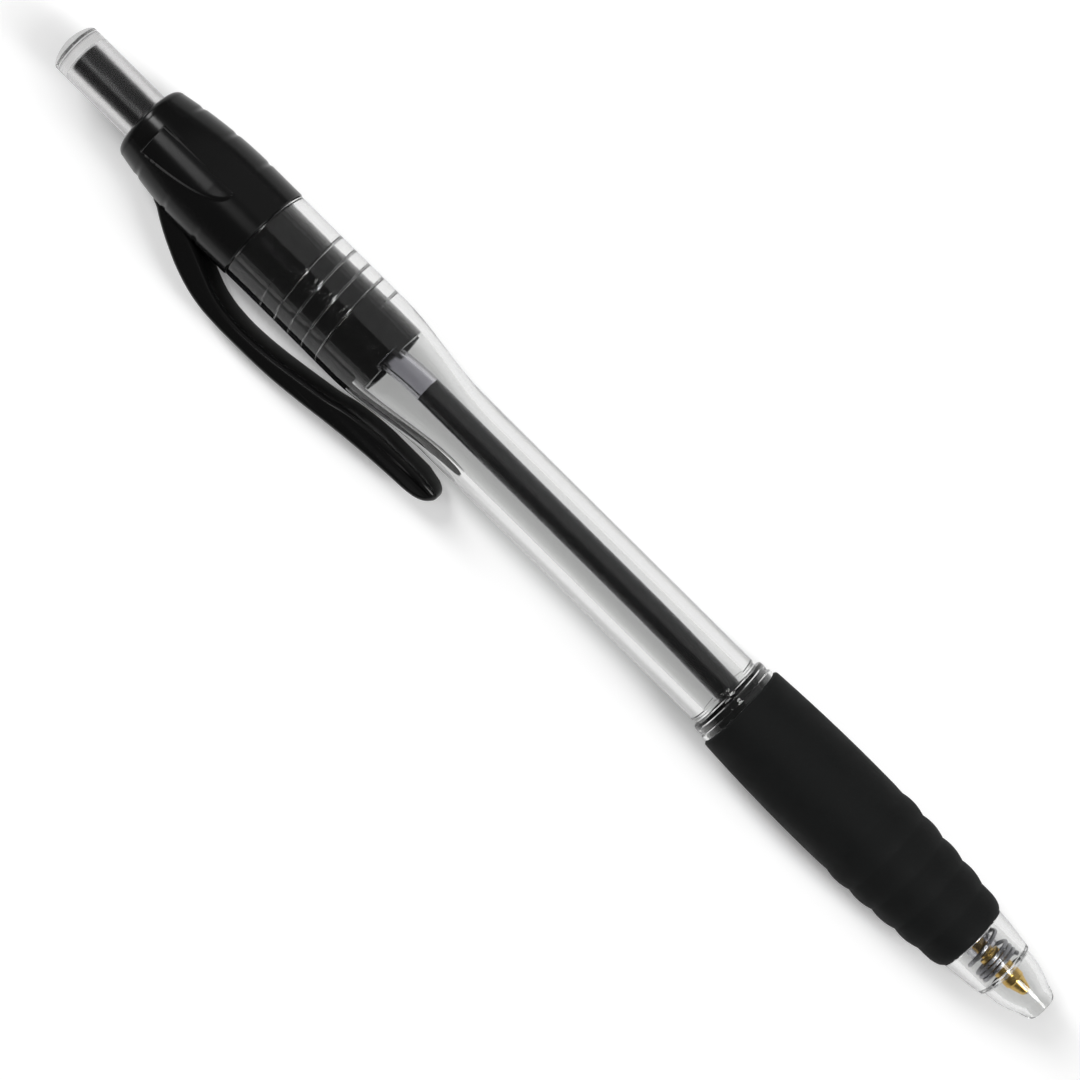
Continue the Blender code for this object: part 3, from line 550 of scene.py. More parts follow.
class MaterialBoard(Board):
    """A material's nodes, with its Principled shader at hand."""

    def __init__(self, name: str) -> None:
        """Start a material with one Principled shader.

        Args:
            name: Name of the material.
        """
        self.material = bpy.data.materials.new(name)
        self.material.use_nodes = True
        super().__init__(self.material.node_tree)
        self.shader = self.tree.nodes["Principled BSDF"]
        self.output = self.tree.nodes["Material Output"]

    def set(self, **values: float | tuple[float, ...]) -> None:
        """Set plain values on the shader's own sockets, with underscores for spaces."""
        for key, value in values.items():
            self.shader.inputs[key.replace("_", " ")].default_value = value

    def effect(self, group: bpy.types.NodeTree, **values: float) -> bpy.types.Node:
        """Place a shared effect with its own values.

        Args:
            group: The node group.
            **values: Values of its inputs.

        Returns:
            The group's node.
        """
        node = self.add("ShaderNodeGroup", node_tree=group)
        for key, value in values.items():
            node.inputs[key].default_value = value
        return node

    def feed(self, source: Socket, name: str) -> None:
        """Link an output to one of the shader's inputs."""
        self.join(source, self.shader.inputs[name])

    def bump(self, height: Socket, strength: float, depth: float) -> None:
        """Raise the surface by a height.

        Args:
            height: Socket of the height.
            strength: Strength of the relief.
            depth: Depth of the relief in metres.
        """
        node = self.add("ShaderNodeBump")
        node.inputs["Strength"].default_value = strength
        node.inputs["Distance"].default_value = depth
        self.join(height, node.inputs["Height"])
        self.feed(node.outputs[0], "Normal")

    def choose(self, share: Socket, first: Socket, second: Socket) -> Socket:
        """Mix two shaders.

        Args:
            share: Socket of the second shader's share.
            first: First shader.
            second: Second shader.

        Returns:
            The mixed shader.
        """
        node = self.add("ShaderNodeMixShader")
        for source, target in zip((share, first, second), node.inputs):
            self.join(source, target)
        return node.outputs[0]

    def pass_light(self, tint: Colour, varied: Socket | None = None) -> None:
        """Let lamps and soft light through the piece.

        Args:
            tint: Colour of the light that passes.
            varied: Socket of that colour where it changes over the piece.
        """
        path = self.add("ShaderNodeLightPath")
        clear = self.add("ShaderNodeBsdfTransparent")
        clear.inputs["Color"].default_value = (*tint, 1.0)
        if varied is not None:
            self.join(varied, clear.inputs["Color"])
        source = self.shader.outputs[0]
        for name in ("Is Shadow Ray", "Is Diffuse Ray"):
            source = self.choose(path.outputs[name], source, clear.outputs[0])
        self.join(source, self.output.inputs["Surface"])


@dataclass(frozen=True)
class Grain:
    """How fine a surface's grain is, how it is drawn out along the pen, and its slow patches."""

    scale: float
    along: float
    patches: float

    def place(self, board: MaterialBoard, effects: Effects) -> bpy.types.Node:
        """Place the grain in a material."""
        return board.effect(effects.grain, Scale=self.scale, Along=self.along, Patches=self.patches)


@dataclass(frozen=True)
class Finish(ABC):
    """A named finish, made into a material when a piece first asks for it."""

    name: str

    def material(self, effects: Effects) -> bpy.types.Material:
        """Build the material.

        Args:
            effects: The shared effects.

        Returns:
            The material.
        """
        board = MaterialBoard(self.name)
        self.paint(board, effects)
        return board.material

    @abstractmethod
    def paint(self, board: MaterialBoard, effects: Effects) -> None:
        """Place and join the finish's nodes.

        Args:
            board: The material's nodes.
            effects: The shared effects.
        """


@dataclass(frozen=True)
class ClearPlastic(Finish):
    """Clear moulded plastic with faint handling marks."""

    tint: Colour = (0.893, 0.896, 0.892)
    deep_tint: Colour = (0.872, 0.875, 0.871)
    passed: Colour = (0.62, 0.625, 0.62)
    # Painted shade: the barrel's rear lets less lamp light through than its waist, so the shadow it casts
    # is darker.
    rear_passed: Colour = (0.26, 0.26, 0.26)
    rear_span: Point = (-0.018, -0.028)
    ior: float = 1.5
    shine: Colour = (0.75, 0.75, 0.75)
    polish: Point = (0.025, 0.11)
    grain: Grain = Grain(900.0, 0.4, 60.0)
    scratch_scale: float = 2600.0
    scratches: float = 0.15
    relief: Point = (0.012, 0.00002)

    def paint(self, board: MaterialBoard, effects: Effects) -> None:
        """Place and join the finish's nodes.

        Args:
            board: The material's nodes.
            effects: The shared effects.
        """
        board.set(Transmission_Weight=1.0, IOR=self.ior, Specular_Tint=(*self.shine, 1.0), Metallic=0.0)
        shade = self.grain.place(board, effects).outputs["Shade"]
        marks = board.effect(effects.scratches, Scale=self.scratch_scale, Amount=self.scratches)
        board.feed(board.blend(shade, self.tint, self.deep_tint), "Base Color")
        board.feed(board.span(marks.outputs["Mask"], UNIT, self.polish), "Roughness")
        board.bump(shade, *self.relief)
        place = board.add("ShaderNodeTexCoord")
        parts = board.add("ShaderNodeSeparateXYZ")
        board.join(place.outputs["Object"], parts.inputs[0])
        # Towards the rear the passed light fades to rear_passed, a painted shade that darkens the cast
        # shadow.
        rear = board.span(parts.outputs["X"], self.rear_span, UNIT)
        board.pass_light(self.passed, board.blend(rear, self.passed, self.rear_passed))


@dataclass(frozen=True)
class MilkyPlastic(Finish):
    """Thin drawn tube that scatters light a little."""

    tint: Colour = (0.74, 0.735, 0.775)
    deep_tint: Colour = (0.67, 0.665, 0.705)
    passed: Colour = (0.60, 0.60, 0.63)
    ior: float = 1.49
    haze: Point = (0.10, 0.22)
    grain: Grain = Grain(2400.0, 0.05, 220.0)
    relief: Point = (0.012, 0.00002)

    def paint(self, board: MaterialBoard, effects: Effects) -> None:
        """Place and join the finish's nodes.

        Args:
            board: The material's nodes.
            effects: The shared effects.
        """
        board.set(Transmission_Weight=1.0, IOR=self.ior, Metallic=0.0)
        grain = self.grain.place(board, effects)
        board.feed(board.blend(grain.outputs["Shade"], self.tint, self.deep_tint), "Base Color")
        board.feed(board.span(grain.outputs["Shade"], UNIT, self.haze), "Roughness")
        board.bump(grain.outputs["Height"], *self.relief)
        board.pass_light(self.passed)


@dataclass(frozen=True)
class BlackPlastic(Finish):
    """Black moulding, polished or satin, with rubbed edges and hairlines."""

    colour: Colour = (0.0042, 0.0042, 0.0042)
    worn: Colour = (0.010, 0.010, 0.010)
    gloss: Point = (0.17, 0.30)
    ior: float = 1.25
    level: float = 0.70
    grain: Grain = Grain(2600.0, 0.7, 160.0)
    scratch_scale: float = 3000.0
    scratches: float = 0.5
    rubbing: float = 0.25
    dulling: float = 0.45
    relief: float = 0.03
    relief_depth: float = 0.00003

    def paint(self, board: MaterialBoard, effects: Effects) -> None:
        """Place and join the finish's nodes.

        Args:
            board: The material's nodes.
            effects: The shared effects.
        """
        board.set(IOR=self.ior, Specular_IOR_Level=self.level)
        grain = self.grain.place(board, effects)
        marks = board.effect(effects.scratches, Scale=self.scratch_scale, Amount=self.scratches)
        edges = board.effect(effects.edges, Amount=self.rubbing)
        handled = board.math("MAXIMUM", edges.outputs["Mask"], marks.outputs["Mask"])
        board.feed(board.blend(handled, self.colour, self.worn), "Base Color")
        patches = board.math("MULTIPLY", grain.outputs["Shade"], self.dulling)
        board.feed(board.span(board.math("MAXIMUM", patches, handled), UNIT, self.gloss), "Roughness")
        board.bump(grain.outputs["Height"], self.relief, self.relief_depth)


@dataclass(frozen=True)
class Rubber(Finish):
    """Soft black rubber with a dusty matte skin."""

    colour: Colour = (0.0048, 0.0053, 0.0053)
    dusty: Colour = (0.0092, 0.0098, 0.0097)
    dullness: Point = (0.62, 0.82)
    level: float = 0.14
    grain: Grain = Grain(5200.0, 1.0, 260.0)
    rubbing: float = 0.7
    dusting: float = 0.5
    relief: Point = (0.25, 0.00006)

    def paint(self, board: MaterialBoard, effects: Effects) -> None:
        """Place and join the finish's nodes.

        Args:
            board: The material's nodes.
            effects: The shared effects.
        """
        board.set(Specular_IOR_Level=self.level)
        grain = self.grain.place(board, effects)
        edges = board.effect(effects.edges, Amount=self.rubbing)
        patches = board.math("MULTIPLY", grain.outputs["Shade"], self.dusting)
        dust = board.math("MAXIMUM", patches, edges.outputs["Mask"])
        board.feed(board.blend(dust, self.colour, self.dusty), "Base Color")
        board.feed(board.span(grain.outputs["Shade"], UNIT, self.dullness), "Roughness")
        board.bump(grain.outputs["Height"], *self.relief)


@dataclass(frozen=True)
class Ink(Finish):
    """Thick black ink against the wall of its tube."""

    colour: Colour = (0.0040, 0.0040, 0.0046)
    thin: Colour = (0.0090, 0.0090, 0.0105)
    level: float = 0.12
    dullness: Point = (0.28, 0.40)
    grain: Grain = Grain(1800.0, 0.15, 300.0)

    def paint(self, board: MaterialBoard, effects: Effects) -> None:
        """Place and join the finish's nodes.

        Args:
            board: The material's nodes.
            effects: The shared effects.
        """
        board.set(Specular_IOR_Level=self.level)
        shade = self.grain.place(board, effects).outputs["Shade"]
        board.feed(board.blend(shade, self.colour, self.thin), "Base Color")
        board.feed(board.span(shade, UNIT, self.dullness), "Roughness")


@dataclass(frozen=True)
class BareMetal(Finish):
    """Bare metal with tool or drawing lines."""

    colour: Colour
    dark: Colour
    dullness: Point
    grain: Grain
    relief: float
    relief_depth: float = 0.00002
    rubbing: float = 0.8
    line_range: Point = (0.3, 0.7)

    def paint(self, board: MaterialBoard, effects: Effects) -> None:
        """Place and join the finish's nodes.

        Args:
            board: The material's nodes.
            effects: The shared effects.
        """
        board.set(Metallic=1.0)
        lines = self.grain.place(board, effects)
        edges = board.effect(effects.edges, Amount=self.rubbing)
        tone = board.math("SUBTRACT", lines.outputs["Shade"], edges.outputs["Mask"])
        board.feed(board.blend(tone, self.colour, self.dark), "Base Color")
        board.feed(board.span(lines.outputs["Height"], self.line_range, self.dullness), "Roughness")
        board.bump(lines.outputs["Height"], self.relief, self.relief_depth)


@dataclass(frozen=True)
class PenAxis:
    """Where the pen lies: the height and offset of its axis, and how the clip hangs."""

    length: float = 145.0
    offset: float = 2.330
    height: float = 5.845
    roll: float = math.radians(21.2174)

    def matrix(self) -> Matrix:
        """Give the move from millimetres round the pen axis to metres on the table.

        Returns:
            The move, as a matrix.
        """
        return Matrix(
            (
                (0.0, 0.0, -MM, 0.5 * self.length * MM),
                (0.0, MM, 0.0, self.offset * MM),
                (MM, 0.0, 0.0, self.height * MM),
                (0.0, 0.0, 0.0, 1.0),
            )
        )

    def point(self, station: float) -> tuple[float, float, float]:
        """A point of the pen axis on the table, in metres."""
        return tuple(self.matrix() @ Vector((0.0, 0.0, station)))

    def clip_angle(self) -> float:
        """The angle of the clip round the pen axis."""
        return -(QUARTER + self.roll)


@dataclass
class Workshop:
    """What every sub-assembly shares: the axis, the effects and the finishes already made."""

    axis: PenAxis
    effects: Effects
    made: dict[str, bpy.types.Material] = field(default_factory=dict)

    def dress(
        self, mesh: bpy.types.Mesh, finish: Finish, body: Body, node: str
    ) -> bpy.types.Object:
        """Lay a mesh on the table, give it its finish and set it in the frame.

        Args:
            mesh: Mesh in millimetres round the pen axis, named as the piece.
            finish: Its finish.
            body: The body that it rides on.
            node: The frame's node that it stands for.

        Returns:
            The piece.
        """
        mesh.transform(self.axis.matrix())
        mesh.update()
        piece = bpy.data.objects.new(mesh.name, mesh)
        bpy.context.scene.collection.objects.link(piece)
        if finish.name not in self.made:
            self.made[finish.name] = finish.material(self.effects)
        mesh.materials.append(self.made[finish.name])
        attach(piece, body.value)
        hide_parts(node)
        LOG.info("%s: %d faces on %s", piece.name, len(mesh.polygons), body.value)
        return piece


class Assembly(ABC):
    """A sub-assembly of the pen."""

    @abstractmethod
    def build(self, shop: Workshop) -> None:
        """Draw and dress the pieces.

        Args:
            shop: What every sub-assembly shares.
        """


@dataclass(frozen=True)
class Thread:
    """Right-hand thread between the collar's sleeve and the barrel."""

    front: float = 101.46
    pitch: float = 2.06
    turns: int = 4
    lead_in: float = 0.30

    def share(self, angle: float, station: float, top: float, foot: float) -> float:
        """How high the thread stands at a place.

        Args:
            angle: Angle round the axis.
            station: Station along the pen.
            top: Half the width of the thread's top.
            foot: Half the width of its foot.

        Returns:
            A share of its full height.
        """
        lead = (station - self.front) / self.pitch - angle / TAU
        turn = min(self.turns - 1, max(0, round(lead)))
        away = abs(lead - turn) * self.pitch
        travel = turn + angle / TAU
        ends = ramp(travel, 0.0, self.lead_in) * ramp(self.turns - travel, 0.0, self.lead_in)
        return ramp(foot - away, 0.0, foot - top) * ends


@dataclass(frozen=True)
class Barrel(Assembly):
    """Clear barrel with its nose, grip seat, stop ring, waist and threaded rear end."""

    finish: ClearPlastic = ClearPlastic("clear_barrel_plastic")
    thread: Thread = Thread(turns=5)
    tip_hole: Point = (1.33, 0.6)
    nose_end: float = 1.68
    nose_shoulder: Point = (1.97, 0.62)
    nose_end_steps: int = 10
    band: Point = (2.15, 1.33)
    nose_front: float = 3.20
    nose_steps: int = 26
    nose_wall: float = 0.80
    seat: float = 5.5
    step: Point = (3.54, 5.72)
    nose_middle: Point = (3.87, 8.1)
    nose_rear: Point = (4.12, 10.6)
    spring_bore: float = 2.75
    spring_seat: Point = (0.22, 0.62)
    spring_seat_steps: int = 10
    grip_seat: float = 3.70
    ring: float = 5.05
    ring_front: float = 45.1
    ring_length: float = 0.64
    skirt_pocket: float = 4.70
    skirt_end: float = 46.50
    bead: float = 4.97
    bead_groove_depth: float = 0.12
    bead_groove_length: float = 0.11
    slope: float = 0.10
    neck_depth: float = 0.14
    neck_length: float = 0.36
    waist: float = 4.46
    waist_bore: float = 2.94
    waist_front: float = 47.6
    waist_hold: float = 1.0
    flare: Point = (87.7, 100.4)
    flare_steps: int = 40
    bore_flare: Point = (84.0, 99.0)
    bore_flare_steps: int = 30
    rear: float = 5.70
    rear_bore: float = 4.55
    rear_end: float = 115.9
    rear_hold: float = 0.3
    groove_front: float = 100.0
    groove_rear: float = 112.4
    groove_steps: int = 300
    groove_depth: float = 0.13
    groove_shift: float = -0.28
    groove_top: float = 0.03
    groove_foot: float = 0.17

    def ring_corners(self) -> list[Corner]:
        """Draw the corners from the waist over the bead, the stop ring and the grip seat to the nose.

        Returns:
            The corners as (radius, station, rounding).
        """
        neck = self.waist - self.neck_depth
        neck_rear = self.waist_front - self.slope
        neck_front = neck_rear - self.neck_length
        bead_rear = neck_front - self.slope
        bead_low = self.bead - self.bead_groove_depth
        ring_rear = self.ring_front + self.ring_length
        groove_front = ring_rear + self.slope
        bead_front = groove_front + self.bead_groove_length
        return [
            (self.waist, self.flare[0] - self.waist_hold, 0.0),
            (self.waist, self.waist_front, 0.10),
            (neck, neck_rear, 0.06),
            (neck, neck_front, 0.08),
            (self.bead - self.slope, bead_rear, 0.12),
            (self.bead, 0.5 * (bead_rear + bead_front), 0.40),
            (bead_low, bead_front, 0.06),
            (bead_low, groove_front, 0.05),
            (self.ring, ring_rear, 0.10),
            (self.ring, self.ring_front, 0.08),
            (self.skirt_pocket, self.ring_front, 0.0),
            (self.skirt_pocket, self.skirt_end, 0.05),
            (self.grip_seat, self.skirt_end, 0.0),
            (self.grip_seat, self.nose_rear[1], 0.0),
            (*self.nose_rear, 0.10),
            (*self.nose_middle, 1.6),
            (*self.step, 0.12),
            (self.nose_front, self.seat, 0.08),
        ]

    def outside(self) -> Outline:
        """Draw the outside from the rear end to the nose end.

        Returns:
            The points.
        """
        waist_rear, flare_rear = self.flare
        rear = [
            (self.rear_bore, self.rear_end, 0.0),
            (self.rear, self.rear_end, 0.22),
            (self.rear, flare_rear, 0.0),
        ]
        nose_end = [
            (*self.band, 0.0),
            (*self.nose_shoulder, 0.5),
            (self.nose_end, 0.0, 0.45),
            (self.tip_hole[0], 0.0, 0.12),
            (*self.tip_hole, 0.0),
        ]
        points = softened(rear)
        points += eased((self.rear, flare_rear), (self.waist, waist_rear), self.flare_steps)[1:]
        points += softened(self.ring_corners())[:-1]
        points += self.nose_curve(0.0)
        points += softened(nose_end, self.nose_end_steps)[1:]
        return points

    def nose_curve(self, inward: float) -> Outline:
        """Draw the curve of the nose from its step to the band at its end.

        Args:
            inward: How far inside the surface the curve runs.

        Returns:
            The points, with both ends.
        """
        radius, end = self.band
        return [
            (mix(self.nose_front, radius, t * t) - inward, mix(self.seat, end, t))
            for t in shares(self.nose_steps)
        ]

    def bore(self) -> Outline:
        """Draw the bore from the nose end to the rear end.

        Returns:
            The points.
        """
        start, end = (self.seat + reach for reach in self.spring_seat)
        waist_rear, flare_rear = self.bore_flare
        points = list(reversed(self.nose_curve(self.nose_wall)))
        points += eased((points[-1][0], start), (self.spring_bore, end), self.spring_seat_steps)
        points += [(self.spring_bore, self.ring_front), (self.waist_bore, self.waist_front)]
        points += eased((self.waist_bore, waist_rear), (self.rear_bore, flare_rear), self.bore_flare_steps)
        points += straight(
            (self.rear_bore, self.flare[1]), (self.rear_bore, self.groove_rear), self.groove_steps
        )
        points.append((self.rear_bore, self.rear_end - self.rear_hold))
        return points

    def warp(self, radius: float, angle: float, station: float) -> Point:
        """Cut the thread's groove into the bore.

        Args:
            radius: Radius of a point.
            angle: Its angle round the axis.
            station: Its station.

        Returns:
            Its new radius and station.
        """
        if abs(radius - self.rear_bore) < SAME and station > self.groove_front:
            place = station - self.groove_shift
            radius += self.groove_depth * self.thread.share(angle, place, self.groove_top, self.groove_foot)
        return radius, station

    def build(self, shop: Workshop) -> None:
        """Draw and dress the barrel."""
        mesh = turned("barrel_shell", held(self.outside() + self.bore()), Steps.WIDE, self.warp)
        shop.dress(mesh, self.finish, Body.BARREL, "barrel")


@dataclass(frozen=True)
class Grip(Assembly):
    """Rubber grip with a belly and scale-like ribs towards the nose."""

    finish: Rubber = Rubber("grip_rubber")
    front: float = 10.66
    rear: float = 45.06
    bore: float = 3.74
    skirt: float = 4.67
    skirt_end: float = 46.46
    belly: Point = (5.79, 31.7)
    belly_steps: int = 36
    rear_radius: float = 5.38
    rear_edge: float = 0.32
    rear_run: float = 1.2
    rib_count: int = 4
    rib_pitch: float = 3.16
    rib_rear: float = 26.49
    rib_taper: float = 0.88
    rib_taper_power: float = 1.33
    rib_height: float = 0.23
    rib_dip: float = 0.05
    rib_dip_run: float = 1.4
    rib_steps: int = 16
    front_round: float = 2.05
    front_drop: float = 0.78
    front_lift: float = 0.01
    front_run_steps: int = 4
    front_steps: int = 16

    def belly_radius(self, station: float) -> float:
        """The radius of the plain rear part."""
        share = (station - self.belly[1]) / (self.rear - self.belly[1])
        return self.belly[0] - (self.belly[0] - self.rear_radius) * share * share

    def valley_radius(self, k: float) -> float:
        """The radius of a valley between ribs."""
        first = self.belly_radius(self.rib_rear) - self.rib_dip
        return first - self.rib_taper * (k / self.rib_count) ** self.rib_taper_power

    def belly_curve(self) -> Outline:
        """Draw the rear end and the plain belly down to the first rib.

        Returns:
            The points.
        """
        start = self.rear - self.rear_run
        points = softened(
            [
                (self.bore, self.skirt_end, 0.0),
                (self.skirt, self.skirt_end, 0.08),
                (self.skirt, self.rear, 0.0),
                (self.rear_radius, self.rear, self.rear_edge),
                (self.belly_radius(start), start, 0.0),
            ]
        )
        for t in shares(self.belly_steps)[1:-1]:
            station = mix(start, self.rib_rear, t)
            dip = self.rib_dip * ramp(self.rib_rear + self.rib_dip_run - station, 0.0, self.rib_dip_run)
            points.append((self.belly_radius(station) - dip, station))
        return points

    def ribs(self) -> Outline:
        """Draw the ribs.

        Returns:
            The points.
        """
        points: Outline = []
        for k in range(self.rib_count):
            for t in shares(self.rib_steps)[:-1]:
                chord = mix(self.valley_radius(k), self.valley_radius(k + 1), t)
                swell = self.rib_height * 4.0 * t * (1.0 - t)
                points.append((chord + swell, self.rib_rear - (k + t) * self.rib_pitch))
        return points

    def front_end(self) -> Outline:
        """Draw the rounded front end.

        Returns:
            The points.
        """
        last = self.valley_radius(self.rib_count)
        lip = self.rib_rear - self.rib_count * self.rib_pitch
        start = (last + self.front_lift, self.front + self.front_round)
        points = straight((last, lip), start, self.front_run_steps)[:-1]
        for t in shares(self.front_steps):
            drop = self.front_drop * (1.0 - math.sqrt(1.0 - t * t))
            points.append((last - drop, self.front + self.front_round * (1.0 - t)))
        points.append((self.bore, self.front))
        return points

    def build(self, shop: Workshop) -> None:
        """Draw and dress the grip."""
        mesh = turned("rubber_grip", self.belly_curve() + self.ribs() + self.front_end(), Steps.WIDE)
        shop.dress(mesh, self.finish, Body.BARREL, "grip_sleeve")


@dataclass(frozen=True)
class Collar(Assembly):
    """Black collar with its grooves, its raised tongue and the threaded guide sleeve."""

    finish: BlackPlastic = BlackPlastic("collar_gloss_plastic")
    thread: Thread = Thread()
    front: float = 115.96
    front_edge: Point = (0.10, 0.12)
    rear: float = 133.15
    radius: float = 5.82
    top: float = 4.62
    top_fillet: float = 0.9
    top_steps: int = 14
    straight_end: float = 120.4
    skin_steps: int = 220
    crown_drop: float = 0.20
    crown_span: Point = (124.0, 131.0)
    crown_fade: Point = (22.0, 62.0)
    grooves: tuple[float, ...] = (120.7, 125.35, 129.8)
    groove_depth: float = 0.12
    groove_half: float = 0.50
    groove_fade: Point = (44.0, 74.0)
    tongue_tip: float = 120.35
    tongue_rear: float = 130.7
    tongue_top: float = 0.95
    tongue_depth: float = 4.65
    tongue_power: float = 0.33
    tongue_crest: Point = (5.80, 122.6)
    tongue_fall: float = 0.036
    tongue_edge: float = 0.60
    tongue_top_slope: float = 1.6
    tongue_low_slope: float = 1.2
    tongue_rear_slope: float = 2.2
    sleeve: float = 4.46
    sleeve_bore: float = 3.5
    sleeve_front: float = 96.8
    sleeve_edge: float = 0.12
    sleeve_seat: float = 4.56
    seat_front: Point = (97.4, 98.6)
    seat_half: float = 52.0
    seat_fade: float = 14.0
    ridge: float = 0.075
    ridge_top: float = 0.26
    ridge_foot: float = 0.50
    ridge_span: Point = (110.4, 100.6)
    ridge_steps: int = 98
    notch_depth: float = 0.62
    notch_half: float = 1.6
    notch_zone: float = 0.2
    side_slope: float = 0.15
    guide: float = 2.85
    guide_half: float = 0.7
    guide_span: Point = (103.9, 105.5)
    guide_steps: int = 16
    guide_start: float = 104.65
    guide_slant: float = 0.64
    guide_edge: float = 0.05
    stop: float = 126.3
    stop_hold: float = 0.05
    hole: float = 3.2

    @staticmethod
    def from_top(angle: float, fade: Point) -> float:
        """How far an angle has come through a fade, in degrees from straight up to either side."""
        return ramp(abs(math.remainder(angle, TAU)), *map(math.radians, fade))

    def skin(self, station: float) -> float:
        """The collar's radius without its grooves."""
        share = max(0.0, (station - self.straight_end) / (self.rear - self.top_fillet - self.straight_end))
        return self.radius - (self.radius - self.top) * share * share

    def groove(self, angle: float, station: float) -> float:
        """Depth of the finger grooves, which run out towards the top."""
        away = min(abs(station - groove) for groove in self.grooves) / self.groove_half
        return self.groove_depth * (1.0 - smooth(away)) * self.from_top(angle, self.groove_fade)

    def crown(self, angle: float, station: float) -> float:
        """How far the top of the collar lies inside its round, in front of the tongue."""
        aside = self.from_top(angle, self.crown_fade)
        return self.crown_drop * (1.0 - aside) * (1.0 - ramp(station, *self.crown_span))

    def outline(self) -> Outline:
        """Draw the collar's section: its outside, its sleeve and its stepped bore.

        Returns:
            The points.
        """
        skin_rear = self.rear - self.top_fillet
        inward, along = self.front_edge
        sleeve_end = [
            (self.sleeve, self.seat_front[1], 0.0),
            (self.sleeve, self.sleeve_front, self.sleeve_edge),
            (self.sleeve_bore, self.sleeve_front, 0.0),
        ]
        points: Outline = [(self.hole, self.rear)]
        for t in shares(self.top_steps):
            a = QUARTER * (1.0 - t)
            reach = self.top - self.top_fillet + self.top_fillet * math.cos(a)
            points.append((reach, skin_rear + self.top_fillet * math.sin(a)))
        for t in shares(self.skin_steps)[1:]:
            station = mix(skin_rear, self.front + along, t)
            points.append((self.skin(station), station))
        points += [(self.radius - inward, self.front), (self.sleeve, self.front)]
        rear, front = self.ridge_span
        points += straight((self.sleeve, rear), (self.sleeve, front), self.ridge_steps)
        points += softened(sleeve_end)
        front, rear = self.guide_span
        points += straight((self.sleeve_bore, front), (self.sleeve_bore, rear), self.guide_steps)
        points += [(self.sleeve_bore, self.front), (self.sleeve_bore, self.front + self.stop_hold)]
        points += [(self.sleeve_bore, self.stop), (self.hole, self.stop)]
        return points

    def tongue(self, radius: float, angle: float, station: float) -> float:
        """Raise the tongue on the skin, with a lower edge that sweeps back from its tip.

        Args:
            radius: Radius of the skin.
            angle: Angle round the axis, from straight up.
            station: Station along the pen.

        Returns:
            The radius in millimetres.
        """
        aside = math.remainder(angle, TAU) * self.radius
        share = (station - self.tongue_tip) / (self.tongue_rear - self.tongue_tip)
        if not 0.0 < share < 1.0:
            return radius
        low = self.tongue_top - self.tongue_depth * share**self.tongue_power
        edge = min(
            self.tongue_top_slope * (self.tongue_top - aside),
            self.tongue_low_slope * (aside - low),
            self.tongue_rear_slope * (self.tongue_rear - station),
        )
        crest, place = self.tongue_crest
        rise = mix(self.skin(self.tongue_tip), crest, ramp(station, self.tongue_tip, place))
        top = rise - self.tongue_fall * max(0.0, station - place)
        return mix(radius, max(radius, top), ramp(edge, 0.0, self.tongue_edge))

    def sleeve_skin(self, angle: float, station: float) -> float:
        """Draw the guide sleeve, which rests on the bore on the clip's side.

        Args:
            angle: Angle round the axis, from straight up.
            station: Station along the pen.

        Returns:
            The radius in millimetres.
        """
        away = abs(math.remainder(angle + QUARTER, TAU))
        resting = ramp(math.radians(self.seat_half) - away, 0.0, math.radians(self.seat_fade))
        resting *= ramp(station, *self.seat_front)
        free = self.sleeve + self.ridge * self.thread.share(angle, station, self.ridge_top, self.ridge_foot)
        return mix(free, self.sleeve_seat, resting)

    def warp(self, radius: float, angle: float, station: float) -> Point:
        """Raise the tongue and the thread, and cut the notches and guides.

        Args:
            radius: Radius of a point.
            angle: Its angle round the axis, from straight up.
            station: Its station.

        Returns:
            Its new radius and station.
        """
        near = 2.0 * SAME
        if radius > self.sleeve + near and station > self.front - SAME:
            radius -= self.groove(angle, station) + self.crown(angle, station)
            radius = self.tongue(radius, angle, station)
        elif abs(radius - self.sleeve) < near and self.seat_front[0] < station < self.front + SAME:
            radius = self.sleeve_skin(angle, station)
        quarter = math.remainder(angle, QUARTER)
        if station < self.sleeve_front + self.notch_zone:
            inside = ramp(self.notch_half - abs(quarter) * self.sleeve, 0.0, self.side_slope)
            station += self.notch_depth * inside
        elif radius < self.sleeve_bore + SAME and self.guide_span[0] - SAME < station < self.front + SAME:
            start = self.guide_start + self.guide_slant * quarter * self.sleeve_bore
            inside = ramp(self.guide_half - abs(quarter) * self.sleeve_bore, 0.0, self.side_slope)
            inside *= ramp(station, start - self.guide_edge, start + self.guide_edge)
            radius = mix(radius, self.guide, inside)
        return radius, station

    def build(self, shop: Workshop) -> None:
        """Draw and dress the collar."""
        mesh = turned("collar_shell", self.outline(), Steps.FINE, self.warp)
        shop.dress(mesh, self.finish, Body.BARREL, "clip_collar")


